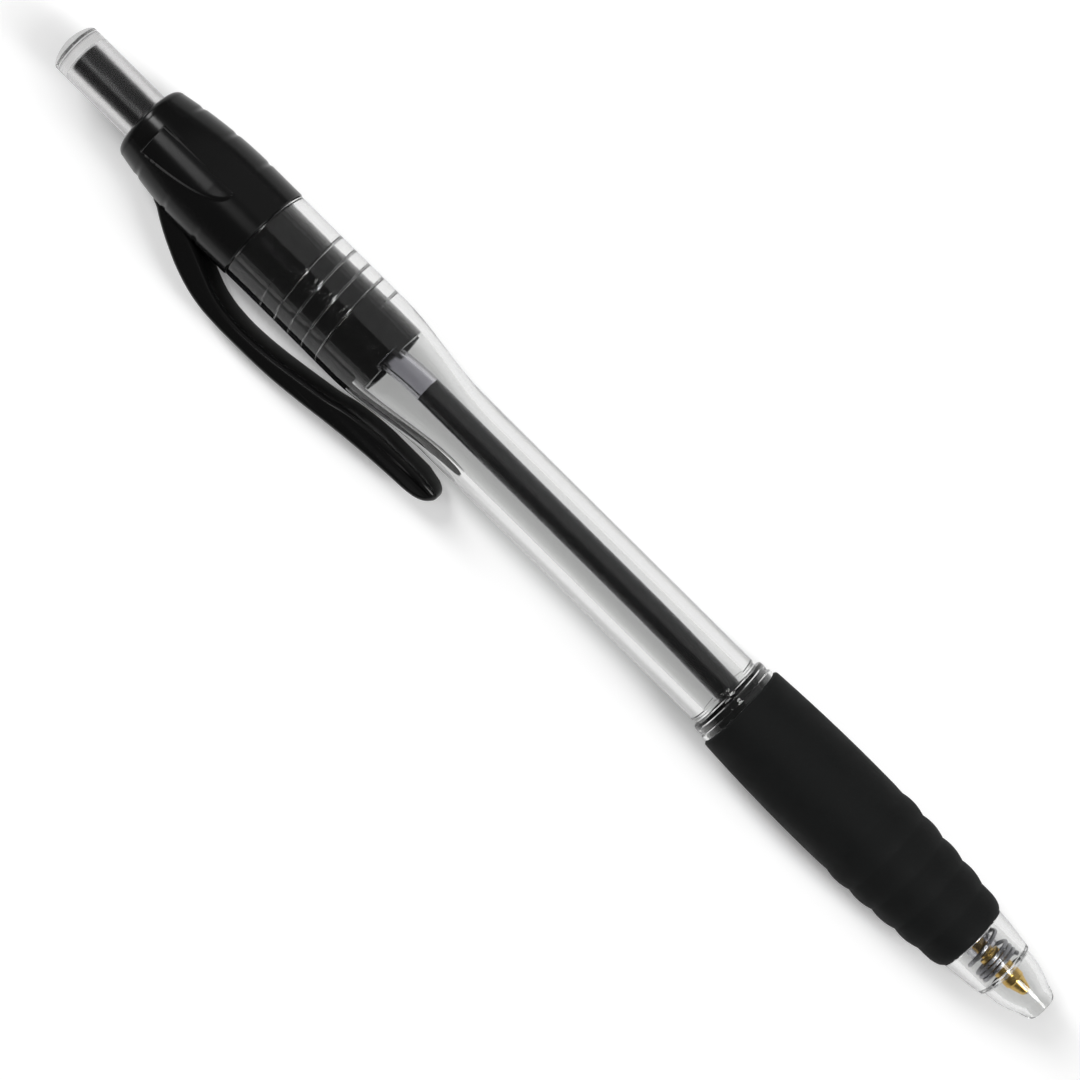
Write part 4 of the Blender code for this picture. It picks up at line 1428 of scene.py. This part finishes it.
@dataclass(frozen=True)
class Clip(Assembly):
    """Pocket clip: an arched strip with a pad at its free end, drawn as (station, radius) points."""

    finish: BlackPlastic = BlackPlastic("clip_gloss_plastic")
    width: float = 4.6
    edge: float = 0.60
    edge_steps: int = 5
    curve_steps: int = 10
    end_round: float = 3.4
    end_share: float = 0.42
    weld: float = 0.001
    outer: tuple[Point, ...] = (
        (127.1, 4.85), (126.0, 5.68), (124.7, 6.58), (122.5, 7.86), (119.4, 9.30), (116.2, 10.20),
        (113.0, 10.50), (110.9, 10.53), (105.6, 10.42), (101.4, 10.02), (97.2, 9.48), (93.0, 9.04),
        (88.7, 8.74), (86.2, 8.60), (84.8, 8.36), (83.85, 7.86),
    )
    tip: Point = (83.42, 7.15)
    pad: tuple[Point, ...] = ((84.5, 6.35), (86.4, 6.05), (91.6, 6.05))
    inner: tuple[Point, ...] = (
        (96.6, 6.62), (98.9, 7.20), (100.9, 7.54), (103.7, 7.98), (106.5, 8.36), (108.9, 8.57),
        (111.7, 8.59), (114.8, 8.14), (117.6, 7.05), (119.6, 6.10), (121.6, 5.20),
    )
    root: tuple[Point, ...] = ((123.8, 4.30), (126.4, 4.10))

    def drawing(self) -> bpy.types.Curve:
        """Draw the strip's side view as a closed curve with rounded edges.

        Returns:
            The curve, in stations and radii.
        """
        points = [*self.outer, self.tip, *self.pad, *self.inner, *self.root]
        flat = [place in self.pad for place in points]
        curve = bpy.data.curves.new("clip_drawing", "CURVE")
        curve.dimensions = "2D"
        curve.fill_mode = "BOTH"
        curve.resolution_u = self.curve_steps
        curve.extrude = 0.5 * self.width - self.edge
        curve.bevel_depth = self.edge
        curve.offset = -self.edge
        curve.bevel_resolution = self.edge_steps
        spline = curve.splines.new("BEZIER")
        spline.bezier_points.add(len(points) - 1)
        spline.use_cyclic_u = True
        for place, (station, radius) in zip(spline.bezier_points, points):
            place.co = (station, radius, 0.0)
        for k, place in enumerate(spline.bezier_points):
            before, after = flat[k - 1], flat[(k + 1) % len(flat)]
            place.handle_left_type = "VECTOR" if flat[k] and before else "AUTO"
            place.handle_right_type = "VECTOR" if flat[k] and after else "AUTO"
        return curve

    def strip(self) -> bmesh.types.BMesh:
        """Make the drawing a solid strip and round its free end.

        Returns:
            The strip, lying in its drawing.
        """
        guide = bpy.data.objects.new("clip_drawing", self.drawing())
        bpy.context.scene.collection.objects.link(guide)
        bpy.context.view_layer.update()
        drawn = guide.evaluated_get(bpy.context.evaluated_depsgraph_get())
        drawn_mesh = bpy.data.meshes.new_from_object(drawn)
        shape = bmesh.new()
        shape.from_mesh(drawn_mesh)
        bpy.data.objects.remove(guide, do_unlink=True)
        bpy.data.meshes.remove(drawn_mesh)
        bmesh.ops.remove_doubles(shape, verts=shape.verts, dist=self.weld)
        for vert in shape.verts:
            past = max(0.0, self.tip[0] + self.end_round - vert.co.x) / self.end_round
            vert.co.z *= mix(self.end_share, 1.0, math.sqrt(max(0.0, 1.0 - past * past)))
        return shape

    def build(self, shop: Workshop) -> None:
        """Draw and dress the clip.

        Args:
            shop: What every sub-assembly shares.
        """
        shape = self.strip()
        angle = shop.axis.clip_angle()
        along = Vector((0.0, 0.0, 1.0))
        away = Vector((math.cos(angle), math.sin(angle), 0.0))
        frame = Matrix((along, away, along.cross(away))).transposed()
        bmesh.ops.transform(shape, matrix=frame.to_4x4(), verts=shape.verts)
        mesh = finish_mesh(shape, "clip_strip", Crease.STRIP)
        shop.dress(mesh, self.finish, Body.CLIP, "pocket_clip")


@dataclass(frozen=True)
class Button(Assembly):
    """Clear push button with a gently domed end and a blind bore."""

    finish: ClearPlastic = ClearPlastic(
        "clear_button_plastic",
        tint=(0.78, 0.777, 0.777),
        deep_tint=(0.75, 0.747, 0.747),
        rear_passed=(0.60, 0.60, 0.60),
        shine=(0.35, 0.35, 0.35),
        polish=(0.22, 0.28),
    )
    radius: float = 2.93
    rear: float = 145.0
    front: float = 126.3
    bore: float = 1.9
    bore_end: float = 142.62
    dome: float = 2.15
    dome_round: float = 5.0
    dome_steps: int = 12
    rim: float = 143.64
    rim_depth: float = 0.035
    rim_half: float = 0.16
    edge_steps: int = 10

    def outline(self) -> Outline:
        """Draw the button's section: its dome, its rounded shoulder, its side and its bore.

        Returns:
            The points.
        """
        points: Outline = []
        for t in shares(self.dome_steps):
            radius = self.dome * t
            points.append((radius, self.rear - 0.5 * radius * radius / self.dome_round))
        edge = points[-1][1]
        corner = edge - self.dome / self.dome_round * (self.radius - self.dome)
        shoulder = self.rim + self.rim_half
        for t in shares(self.dome_steps)[1:-1]:
            share = (1.0 - t) ** 2
            station = share * edge + 2.0 * t * (1.0 - t) * corner + t * t * shoulder
            points.append((mix(self.radius, self.dome, share), station))
        side = [
            (self.radius, shoulder, 0.0),
            (self.radius - self.rim_depth, self.rim, 0.03),
            (self.radius, self.rim - self.rim_half, 0.03),
            (self.radius, self.front, 0.10),
            (self.bore, self.front, 0.10),
            (self.bore, self.bore_end, 0.20),
            (0.0, self.bore_end, 0.0),
        ]
        return points + softened(side, self.edge_steps)

    def build(self, shop: Workshop) -> None:
        """Draw and dress the button."""
        mesh = turned("button_cap", held(self.outline()), Steps.WIDE)
        shop.dress(mesh, self.finish, Body.BUTTON, "push_button")


@dataclass(frozen=True)
class ClickWork(Assembly):
    """Plunger and cam rotor of the click mechanism."""

    plunger_finish: BlackPlastic = BlackPlastic(
        "plunger_satin_plastic",
        colour=(0.020, 0.020, 0.021),
        worn=(0.028, 0.028, 0.029),
        gloss=(0.34, 0.48),
        level=0.95,
        relief=0.01,
    )
    rotor_finish: BlackPlastic = BlackPlastic("rotor_satin_plastic", gloss=(0.30, 0.48), relief=0.04)
    core: float = 1.77
    core_rear: float = 142.45
    flange: float = 3.3
    flange_span: Point = (125.0, 126.0)
    skirt: float = 2.6
    skirt_front: float = 110.3
    skirt_bore: float = 1.6
    skirt_floor: float = 124.0
    spline_span: Point = (111.5, 116.0)
    lug_reach: float = 3.3
    lug_half: float = 0.55
    lug_side: float = 0.18
    lug_span: Point = (105.5, 109.0)
    lug_slope: float = 0.9
    lug_hold: float = 0.02
    tooth_count: int = 8
    tooth_height: float = 0.8
    rotor: float = 2.5
    rotor_span: Point = (102.0, 110.0)
    stub: Point = (1.3, 114.0)
    socket: Point = (1.67, 108.0)

    def tooth(self, angle: float) -> float:
        """Height of the crown's valley at an angle."""
        phase = (angle * self.tooth_count / TAU) % 1.0
        return self.tooth_height * (1.0 - abs(2.0 * phase - 1.0))

    def aside(self, angle: float, radius: float) -> float:
        """Distance round the axis from the nearest of the four lugs."""
        return math.remainder(angle - 0.5 * QUARTER, QUARTER) * radius

    def lug(self, aside: float) -> float:
        """How far a point beside a lug's middle stands out with it."""
        return ramp(self.lug_half - abs(aside), 0.0, self.lug_side)

    def lug_run(self, radius: float, span: Point) -> Outline:
        """The points between which lugs rise, from the rear."""
        low, high = span
        return [(radius, place) for place in (high + self.lug_hold, high, low, low - self.lug_hold)]

    def plunger_warp(self, radius: float, angle: float, station: float) -> Point:
        """Raise the splines and cut the crown teeth.

        Args:
            radius: Radius of a point.
            angle: Its angle round the axis.
            station: Its station.

        Returns:
            Its new radius and station.
        """
        low, high = self.spline_span
        if abs(station - self.skirt_front) < SAME:
            station += self.tooth(angle)
        elif abs(radius - self.skirt) < SAME and low - SAME < station < high + SAME:
            radius = mix(radius, self.lug_reach, self.lug(self.aside(angle, radius)))
        return radius, station

    def rotor_warp(self, radius: float, angle: float, station: float) -> Point:
        """Raise the sloped lugs and cut the crown teeth.

        Args:
            radius: Radius of a point.
            angle: Its angle round the axis.
            station: Its station.

        Returns:
            Its new radius and station.
        """
        low, high = self.lug_span
        if abs(station - self.rotor_span[1]) < SAME:
            station -= self.tooth(angle)
        elif abs(radius - self.rotor) < SAME and low - SAME < station < high + SAME:
            aside = self.aside(angle, radius)
            near = self.lug(aside)
            if station > high - SAME:
                station += self.lug_slope * (aside / (2.0 * self.lug_half) - 0.5) * near
            radius = mix(radius, self.lug_reach, near)
        return radius, station

    def plunger_outline(self) -> Outline:
        """Draw the plunger's section: its core, its flange and its hollow skirt.

        Returns:
            The points.
        """
        flange_front, flange_rear = self.flange_span
        points = softened(
            [
                (0.0, self.core_rear, 0.0),
                (self.core, self.core_rear, 0.22),
                (self.core, flange_rear, 0.15),
                (self.flange, flange_rear, 0.15),
                (self.flange, flange_front, 0.15),
                (self.skirt, flange_front, 0.0),
            ]
        )
        points += self.lug_run(self.skirt, self.spline_span)
        points += [(self.skirt, self.skirt_front), (self.skirt_bore, self.skirt_front)]
        return points + [(self.skirt_bore, self.skirt_floor), (0.0, self.skirt_floor)]

    def rotor_outline(self) -> Outline:
        """Draw the rotor's section: its stub, its body and its socket.

        Returns:
            The points.
        """
        front, rear = self.rotor_span
        points = softened(
            [
                (0.0, self.stub[1], 0.0),
                (*self.stub, 0.2),
                (self.stub[0], rear, 0.0),
                (self.rotor, rear, 0.0),
            ]
        )
        points += self.lug_run(self.rotor, self.lug_span)
        return points + [(self.rotor, front), (self.socket[0], front), self.socket, (0.0, self.socket[1])]

    def build(self, shop: Workshop) -> None:
        """Draw and dress the plunger and the rotor.

        Args:
            shop: What every sub-assembly shares.
        """
        plunger = turned("plunger_core", self.plunger_outline(), Steps.SMALL, self.plunger_warp)
        shop.dress(plunger, self.plunger_finish, Body.BUTTON, "plunger")
        rotor = turned("rotor_cam", self.rotor_outline(), Steps.SMALL, self.rotor_warp)
        shop.dress(rotor, self.rotor_finish, Body.ROTOR, "cam_rotor")


@dataclass(frozen=True)
class Refill(Assembly):
    """Ink tube with its ears, the ink, the brass point and the writing ball."""

    tube_finish: MilkyPlastic = MilkyPlastic("milky_tube_plastic")
    ink_finish: Ink = Ink("black_ink_paste")
    brass_finish: BareMetal = BareMetal(
        "turned_brass",
        colour=(0.83, 0.58, 0.20),
        dark=(0.66, 0.42, 0.11),
        dullness=(0.12, 0.26),
        grain=Grain(2600.0, 6.0, 700.0),
        relief=0.02,
    )
    ball_finish: BareMetal = BareMetal(
        "ground_carbide",
        colour=(0.52, 0.52, 0.54),
        dark=(0.40, 0.40, 0.42),
        dullness=(0.06, 0.16),
        grain=Grain(9000.0, 1.0, 700.0),
        relief=0.03,
    )
    tube: float = 1.56
    bore: float = 0.99
    tube_span: Point = (8.7, 107.7)
    tube_edge: float = 0.06
    tube_edge_steps: int = 3
    tube_holds: Point = (20.0, 100.0)
    outer_run: Point = (98.0, 30.0)
    inner_run: Point = (30.0, 100.0)
    run_steps: int = 40
    ear_span: Point = (27.5, 28.2)
    ear_reach: float = 2.5
    ear_half: float = 0.65
    ear_side: float = 0.2
    ear_hold: float = 0.02
    ink_span: Point = (13.3, 92.2)
    ink_skin: float = 0.006
    ink_end: float = 0.10
    ink_end_steps: int = 12
    ink_end_hold: float = 0.2
    ink_steps: int = 48
    point: float = 1.18
    shank: float = 0.80
    lip: Point = (0.50, 2.55)
    lip_slope: Point = (0.13, 0.22)
    cone_rear: float = 4.1
    cone_shoulder: float = 0.12
    tool_groove: Point = (0.82, 1.1)
    tool_groove_depth: float = 0.05
    tool_groove_slope: float = 0.08
    body_rear: float = 8.4
    shank_rear: float = 13.0
    channel: float = 0.25
    ball: float = 0.35
    ball_centre: float = 2.65
    ball_room: float = 0.05
    ball_seat: Point = (0.5, 0.6)
    ball_steps: int = 24
    bow: float = 0.6
    bow_front: Point = (30.0, 60.0)
    bow_rear: Point = (93.0, 101.0)

    def bowed(self, mesh: bpy.types.Mesh) -> bpy.types.Mesh:
        """Bow a drawn piece a little to one side, as a slack tube lies in its barrel.

        Args:
            mesh: The mesh of a straight piece.

        Returns:
            The same mesh, bowed.
        """
        for vert in mesh.vertices:
            station = vert.co.z
            vert.co.y += self.bow * ramp(station, *self.bow_front) * (1.0 - ramp(station, *self.bow_rear))
        return mesh

    def tube_warp(self, radius: float, angle: float, station: float) -> Point:
        """Pinch the two ears out of the tube.

        Args:
            radius: Radius of a point.
            angle: Its angle round the axis.
            station: Its station.

        Returns:
            Its new radius and station.
        """
        low, high = self.ear_span
        if radius > self.tube - SAME and low - SAME < station < high + SAME:
            aside = abs(math.remainder(angle, 0.5 * TAU)) * self.tube
            radius = mix(radius, self.ear_reach, ramp(self.ear_half - aside, 0.0, self.ear_side))
        return radius, station

    def tube_outline(self) -> Outline:
        """Draw the tube's section, with rings close enough to follow its bow.

        Returns:
            The points.
        """
        low, high = self.ear_span
        front, rear = self.tube_span
        front_hold, rear_hold = self.tube_holds
        edge = self.tube_edge
        rear_end = [(self.bore, rear, 0.0), (self.tube, rear, edge), (self.tube, rear_hold, 0.0)]
        front_end = [(self.tube, front_hold, 0.0), (self.tube, front, edge), (self.bore, front, 0.0)]
        ears = (high + self.ear_hold, high, low, low - self.ear_hold)
        points = softened(rear_end, self.tube_edge_steps)
        start, end = self.outer_run
        points += straight((self.tube, start), (self.tube, end), self.run_steps)
        points += [(self.tube, place) for place in ears]
        points += softened(front_end, self.tube_edge_steps)
        start, end = self.inner_run
        points += straight((self.bore, start), (self.bore, end), self.run_steps)
        return points

    def ink_outline(self) -> Outline:
        """Draw the ink's section, which wets the wall of the tube.

        Returns:
            The points.
        """
        front, rear = self.ink_span
        skin = self.bore + self.ink_skin
        points = [(0.0, rear)]
        for t in shares(self.ink_end_steps)[1:]:
            a = QUARTER * t
            points.append((skin * math.sin(a), rear - self.ink_end * (1.0 - math.cos(a))))
        points += straight((skin, rear - self.ink_end_hold), (skin, front), self.ink_steps)
        points.append((0.0, front))
        return points

    def point_outline(self) -> Outline:
        """Draw the brass point's section, from its rear channel over the cone to the ball's seat.

        Returns:
            The points.
        """
        lip, mouth = self.lip
        rise, run = self.lip_slope
        groove_front, groove_rear = (self.cone_rear + reach for reach in self.tool_groove)
        groove = self.point - self.tool_groove_depth
        socket = self.ball + self.ball_room
        seat, floor = (mouth + depth for depth in self.ball_seat)
        return softened(
            [
                (self.channel, self.shank_rear, 0.0),
                (self.shank, self.shank_rear, 0.12),
                (self.shank, self.body_rear, 0.04),
                (self.point, self.body_rear, 0.08),
                (self.point, groove_rear, 0.04),
                (groove, groove_rear - self.tool_groove_slope, 0.03),
                (groove, groove_front + self.tool_groove_slope, 0.03),
                (self.point, groove_front, 0.04),
                (self.point, self.cone_rear + self.cone_shoulder, 0.10),
                (self.point - self.cone_shoulder, self.cone_rear, 0.06),
                (lip + rise, mouth + run, 0.08),
                (lip, mouth, 0.05),
                (socket, mouth + SAME, 0.03),
                (socket, seat, 0.10),
                (self.channel, floor, 0.0),
            ]
        )

    def ball_outline(self) -> Outline:
        """Draw half of the ball's round, from its front pole to its rear pole.

        Returns:
            The points.
        """
        angles = [math.pi * t for t in shares(self.ball_steps)[1:-1]]
        points = [(self.ball * math.sin(a), self.ball_centre - self.ball * math.cos(a)) for a in angles]
        return [(0.0, self.ball_centre - self.ball), *points, (0.0, self.ball_centre + self.ball)]

    def build(self, shop: Workshop) -> None:
        """Draw and dress the tube, the ink, the brass point and the ball.

        Args:
            shop: What every sub-assembly shares.
        """
        tube = self.bowed(turned("refill_sheath", self.tube_outline(), Steps.SMALL, self.tube_warp))
        shop.dress(tube, self.tube_finish, Body.REFILL, "refill_tube")
        ink = self.bowed(turned("ink_column", self.ink_outline(), Steps.SMALL))
        shop.dress(ink, self.ink_finish, Body.REFILL, "ink")
        point = turned("point_body", self.point_outline(), Steps.SMALL)
        shop.dress(point, self.brass_finish, Body.REFILL, "brass_point")
        ball = turned("writing_ball", self.ball_outline(), Steps.SMALL)
        shop.dress(ball, self.ball_finish, Body.BALL, "point_ball")


@dataclass(frozen=True)
class ReturnSpring(Assembly):
    """Return spring between the nose and the refill's ears, with close end coils."""

    finish: BareMetal = BareMetal(
        "drawn_spring_steel",
        colour=(0.36, 0.36, 0.38),
        dark=(0.20, 0.20, 0.22),
        dullness=(0.22, 0.42),
        grain=Grain(4000.0, 1.0, 700.0),
        relief=0.05,
    )
    span: Point = (6.15, 27.3)
    wire: float = 0.23
    wire_sides: int = 14
    mean: float = 2.2
    close_pitch: float = 0.52
    front_coils: float = 3.0
    rear_coils: float = 2.5
    active_coils: float = 10.5
    opening: float = 0.3
    coil_steps: int = 40
    start: float = math.radians(70.0)
    press: float = 6.0

    def path(self) -> list[Vector]:
        """Draw the wire's middle.

        Returns:
            The points, from the nose.
        """
        front = self.span[0] + self.wire
        rear = self.span[1] - self.wire
        coils = self.front_coils + self.active_coils + self.rear_coils
        rear_start = coils - self.rear_coils
        ends = self.close_pitch * (self.front_coils + self.rear_coils)
        open_pitch = (rear - front - ends) / self.active_coils
        points = []
        station = front
        for i in range(round(coils * self.coil_steps) + 1):
            turns = i / self.coil_steps
            angle = TAU * turns + self.start
            points.append(Vector((self.mean * math.cos(angle), self.mean * math.sin(angle), station)))
            opened = ramp(turns, self.front_coils - self.opening, self.front_coils + self.opening)
            opened *= 1.0 - ramp(turns, rear_start - self.opening, rear_start + self.opening)
            station += mix(self.close_pitch, open_pitch, opened) / self.coil_steps
        return points

    def build(self, shop: Workshop) -> None:
        """Draw and dress the spring at its full length and give it a mesh of its own; it is not shortened
        as the refill slides.

        Args:
            shop: What every sub-assembly shares.
        """
        mesh = wound("coil_spring", self.path(), self.wire, self.wire_sides)
        spring = shop.dress(mesh, self.finish, Body.BARREL, "return_spring")
        anchor = shop.axis.point(self.span[0])
        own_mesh(spring)


@dataclass(frozen=True)
class Lamp:
    """A soft rectangular lamp, with the axis that its first side follows."""

    name: str
    place: tuple[float, float, float]
    aim: tuple[float, float, float]
    level: tuple[float, float, float]
    size: Point
    glow: float

    def build(self) -> None:
        """Hang the lamp, out of the camera's sight."""
        data = bpy.data.lights.new(self.name, "AREA")
        data.shape = "RECTANGLE"
        data.size, data.size_y = self.size
        data.energy = self.glow * math.pi * self.size[0] * self.size[1]
        lamp = bpy.data.objects.new(self.name, data)
        bpy.context.scene.collection.objects.link(lamp)
        lamp.location = self.place
        back = (Vector(self.place) - Vector(self.aim)).normalized()
        level = Vector(self.level)
        level = (level - back * level.dot(back)).normalized()
        lamp.rotation_euler = Matrix((level, back.cross(level), back)).transposed().to_euler()
        lamp.visible_camera = False


@dataclass(frozen=True)
class Studio:
    """White sweep, soft light from one side and a camera straight above."""

    floor_half: float = 2.4
    sweep_height: float = 1.0
    sweep_sides: int = 96
    sweep_steps: int = 12
    floor_colour: Colour = (0.93, 0.93, 0.93)
    floor_roughness: float = 0.9
    floor_lift: float = 0.17
    seen_through_lift: float = 0.445
    seen_through_colour: Colour = (0.51, 0.51, 0.51)
    ambient: float = 0.10
    ambient_colour: Colour = (1.0, 1.0, 1.0)
    lamps: tuple[Lamp, ...] = (
        Lamp(
            "softbox_by_the_nose",
            place=(1.15, 0.22, 0.95),
            aim=(0.0, 0.0, 0.0),
            level=(0.0, 1.0, 0.0),
            size=(0.32, 1.2),
            glow=12.2,
        ),
        Lamp(
            "softbox_by_the_button",
            place=(-1.15, 0.22, 0.95),
            aim=(0.0, 0.0, 0.0),
            level=(0.0, 1.0, 0.0),
            size=(0.32, 1.2),
            glow=12.2,
        ),
        Lamp(
            "side_panel",
            place=(0.05, 0.765, 0.765),
            aim=(0.05, 0.0, 0.0),
            level=(1.0, 0.0, 0.0),
            size=(0.9, 1.26),
            glow=0.32,
        ),
        Lamp(
            "ceiling_panel",
            place=(-0.36, -0.20, 1.2),
            aim=(-0.36, -0.20, 0.0),
            level=(1.0, 0.0, 0.0),
            size=(0.145, 0.44),
            glow=5.6,
        ),
    )
    camera_height: float = 0.3338
    camera_near: float = 0.01
    picture_turn: float = math.radians(44.78)
    picture_width: float = 0.1141
    subject_height: float = 0.005845
    sensor: float = 36.0
    bounces: int = 24
    clear_bounces: int = 20
    glossy_bounces: int = 8

    def sweep(self) -> bpy.types.Mesh:
        """Draw a round floor that rises in a sweep all round.

        Returns:
            The mesh.
        """
        shape = bmesh.new()
        sides = self.sweep_sides
        angles = [TAU * k / sides for k in range(sides)]
        profile = [(0.5 * self.floor_half, 0.0)]
        for t in shares(self.sweep_steps):
            a = QUARTER * t
            reach = self.floor_half + self.sweep_height * math.sin(a)
            profile.append((reach, self.sweep_height * (1.0 - math.cos(a))))
        rings = []
        for reach, height in profile:
            ring = [shape.verts.new((reach * math.cos(a), reach * math.sin(a), height)) for a in angles]
            rings.append(ring)
        middle = shape.verts.new((0.0, 0.0, 0.0))
        for k in range(sides):
            shape.faces.new((middle, rings[0][k], rings[0][(k + 1) % sides]))
        for first, second in zip(rings, rings[1:]):
            for k in range(sides):
                n = (k + 1) % sides
                shape.faces.new((first[k], second[k], second[n], first[n]))
        for face in shape.faces:
            face.smooth = True
        mesh = bpy.data.meshes.new("studio_sweep")
        shape.to_mesh(mesh)
        shape.free()
        return mesh

    def paper(self) -> bpy.types.Material:
        """Make paper that shows white to the camera and through clear plastic, and keeps shadows.

        Returns:
            The material.
        """
        board = MaterialBoard("white_paper_sweep")
        board.set(
            Base_Color=(*self.floor_colour, 1.0), Roughness=self.floor_roughness, Specular_IOR_Level=0.0
        )
        path = board.add("ShaderNodeLightPath")
        passed = path.outputs["Is Transmission Ray"]
        seen = board.math("MULTIPLY", path.outputs["Is Camera Ray"], self.floor_lift)
        through = board.math("MULTIPLY", passed, self.seen_through_lift)
        quiet = board.add("ShaderNodeBsdfDiffuse")
        quiet.inputs["Color"].default_value = (*self.seen_through_colour, 1.0)
        glow = board.add("ShaderNodeEmission")
        board.join(board.math("ADD", seen, through), glow.inputs["Strength"])
        both = board.add("ShaderNodeAddShader")
        board.join(board.choose(passed, board.shader.outputs[0], quiet.outputs[0]), both.inputs[0])
        board.join(glow.outputs[0], both.inputs[1])
        board.join(both.outputs[0], board.output.inputs["Surface"])
        return board.material

    def build_floor(self) -> None:
        """Lay the white floor."""
        mesh = self.sweep()
        floor = bpy.data.objects.new("studio_sweep", mesh)
        bpy.context.scene.collection.objects.link(floor)
        mesh.materials.append(self.paper())

    def build_light(self) -> None:
        """Fill the room with soft light and hang the lamps."""
        world = bpy.data.worlds.new("studio_room")
        world.use_nodes = True
        background = world.node_tree.nodes["Background"]
        background.inputs["Color"].default_value = (*self.ambient_colour, 1.0)
        background.inputs["Strength"].default_value = self.ambient
        bpy.context.scene.world = world
        for lamp in self.lamps:
            lamp.build()

    def build_camera(self) -> None:
        """Set the camera straight above the pen, turned as in the photograph."""
        data = bpy.data.cameras.new("photo_camera")
        data.sensor_width = self.sensor
        data.lens = self.sensor * (self.camera_height - self.subject_height) / self.picture_width
        data.clip_start = self.camera_near
        camera = bpy.data.objects.new("photo_camera", data)
        camera.location = (0.0, 0.0, self.camera_height)
        camera.rotation_euler = (0.0, 0.0, self.picture_turn)
        bpy.context.scene.collection.objects.link(camera)
        bpy.context.scene.camera = camera

    def build(self) -> None:
        """Set up the studio, with light paths long enough for clear plastic."""
        scene = bpy.context.scene
        scene.view_settings.view_transform = "Standard"
        scene.cycles.max_bounces = self.bounces
        scene.cycles.transparent_max_bounces = self.bounces
        scene.cycles.transmission_bounces = self.clear_bounces
        scene.cycles.glossy_bounces = self.glossy_bounces
        self.build_camera()
        self.build_floor()
        self.build_light()


def clear_start_objects() -> None:
    """Remove what a new Blender file starts with."""
    for obj in list(bpy.data.objects):
        bpy.data.objects.remove(obj, do_unlink=True)


def main() -> None:
    """Load the frame, set up the studio and dress every piece of the pen."""
    logging.basicConfig(level=logging.INFO, format="%(name)s: %(message)s")
    clear_start_objects()
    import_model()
    Studio().build()
    shop = Workshop(PenAxis(), Effects())
    for assembly in (Barrel(), Grip(), Collar(), Clip(), Button(), ClickWork(), Refill(), ReturnSpring()):
        LOG.info("building %s", type(assembly).__name__)
        assembly.build(shop)


if __name__ == "__main__":
    main()
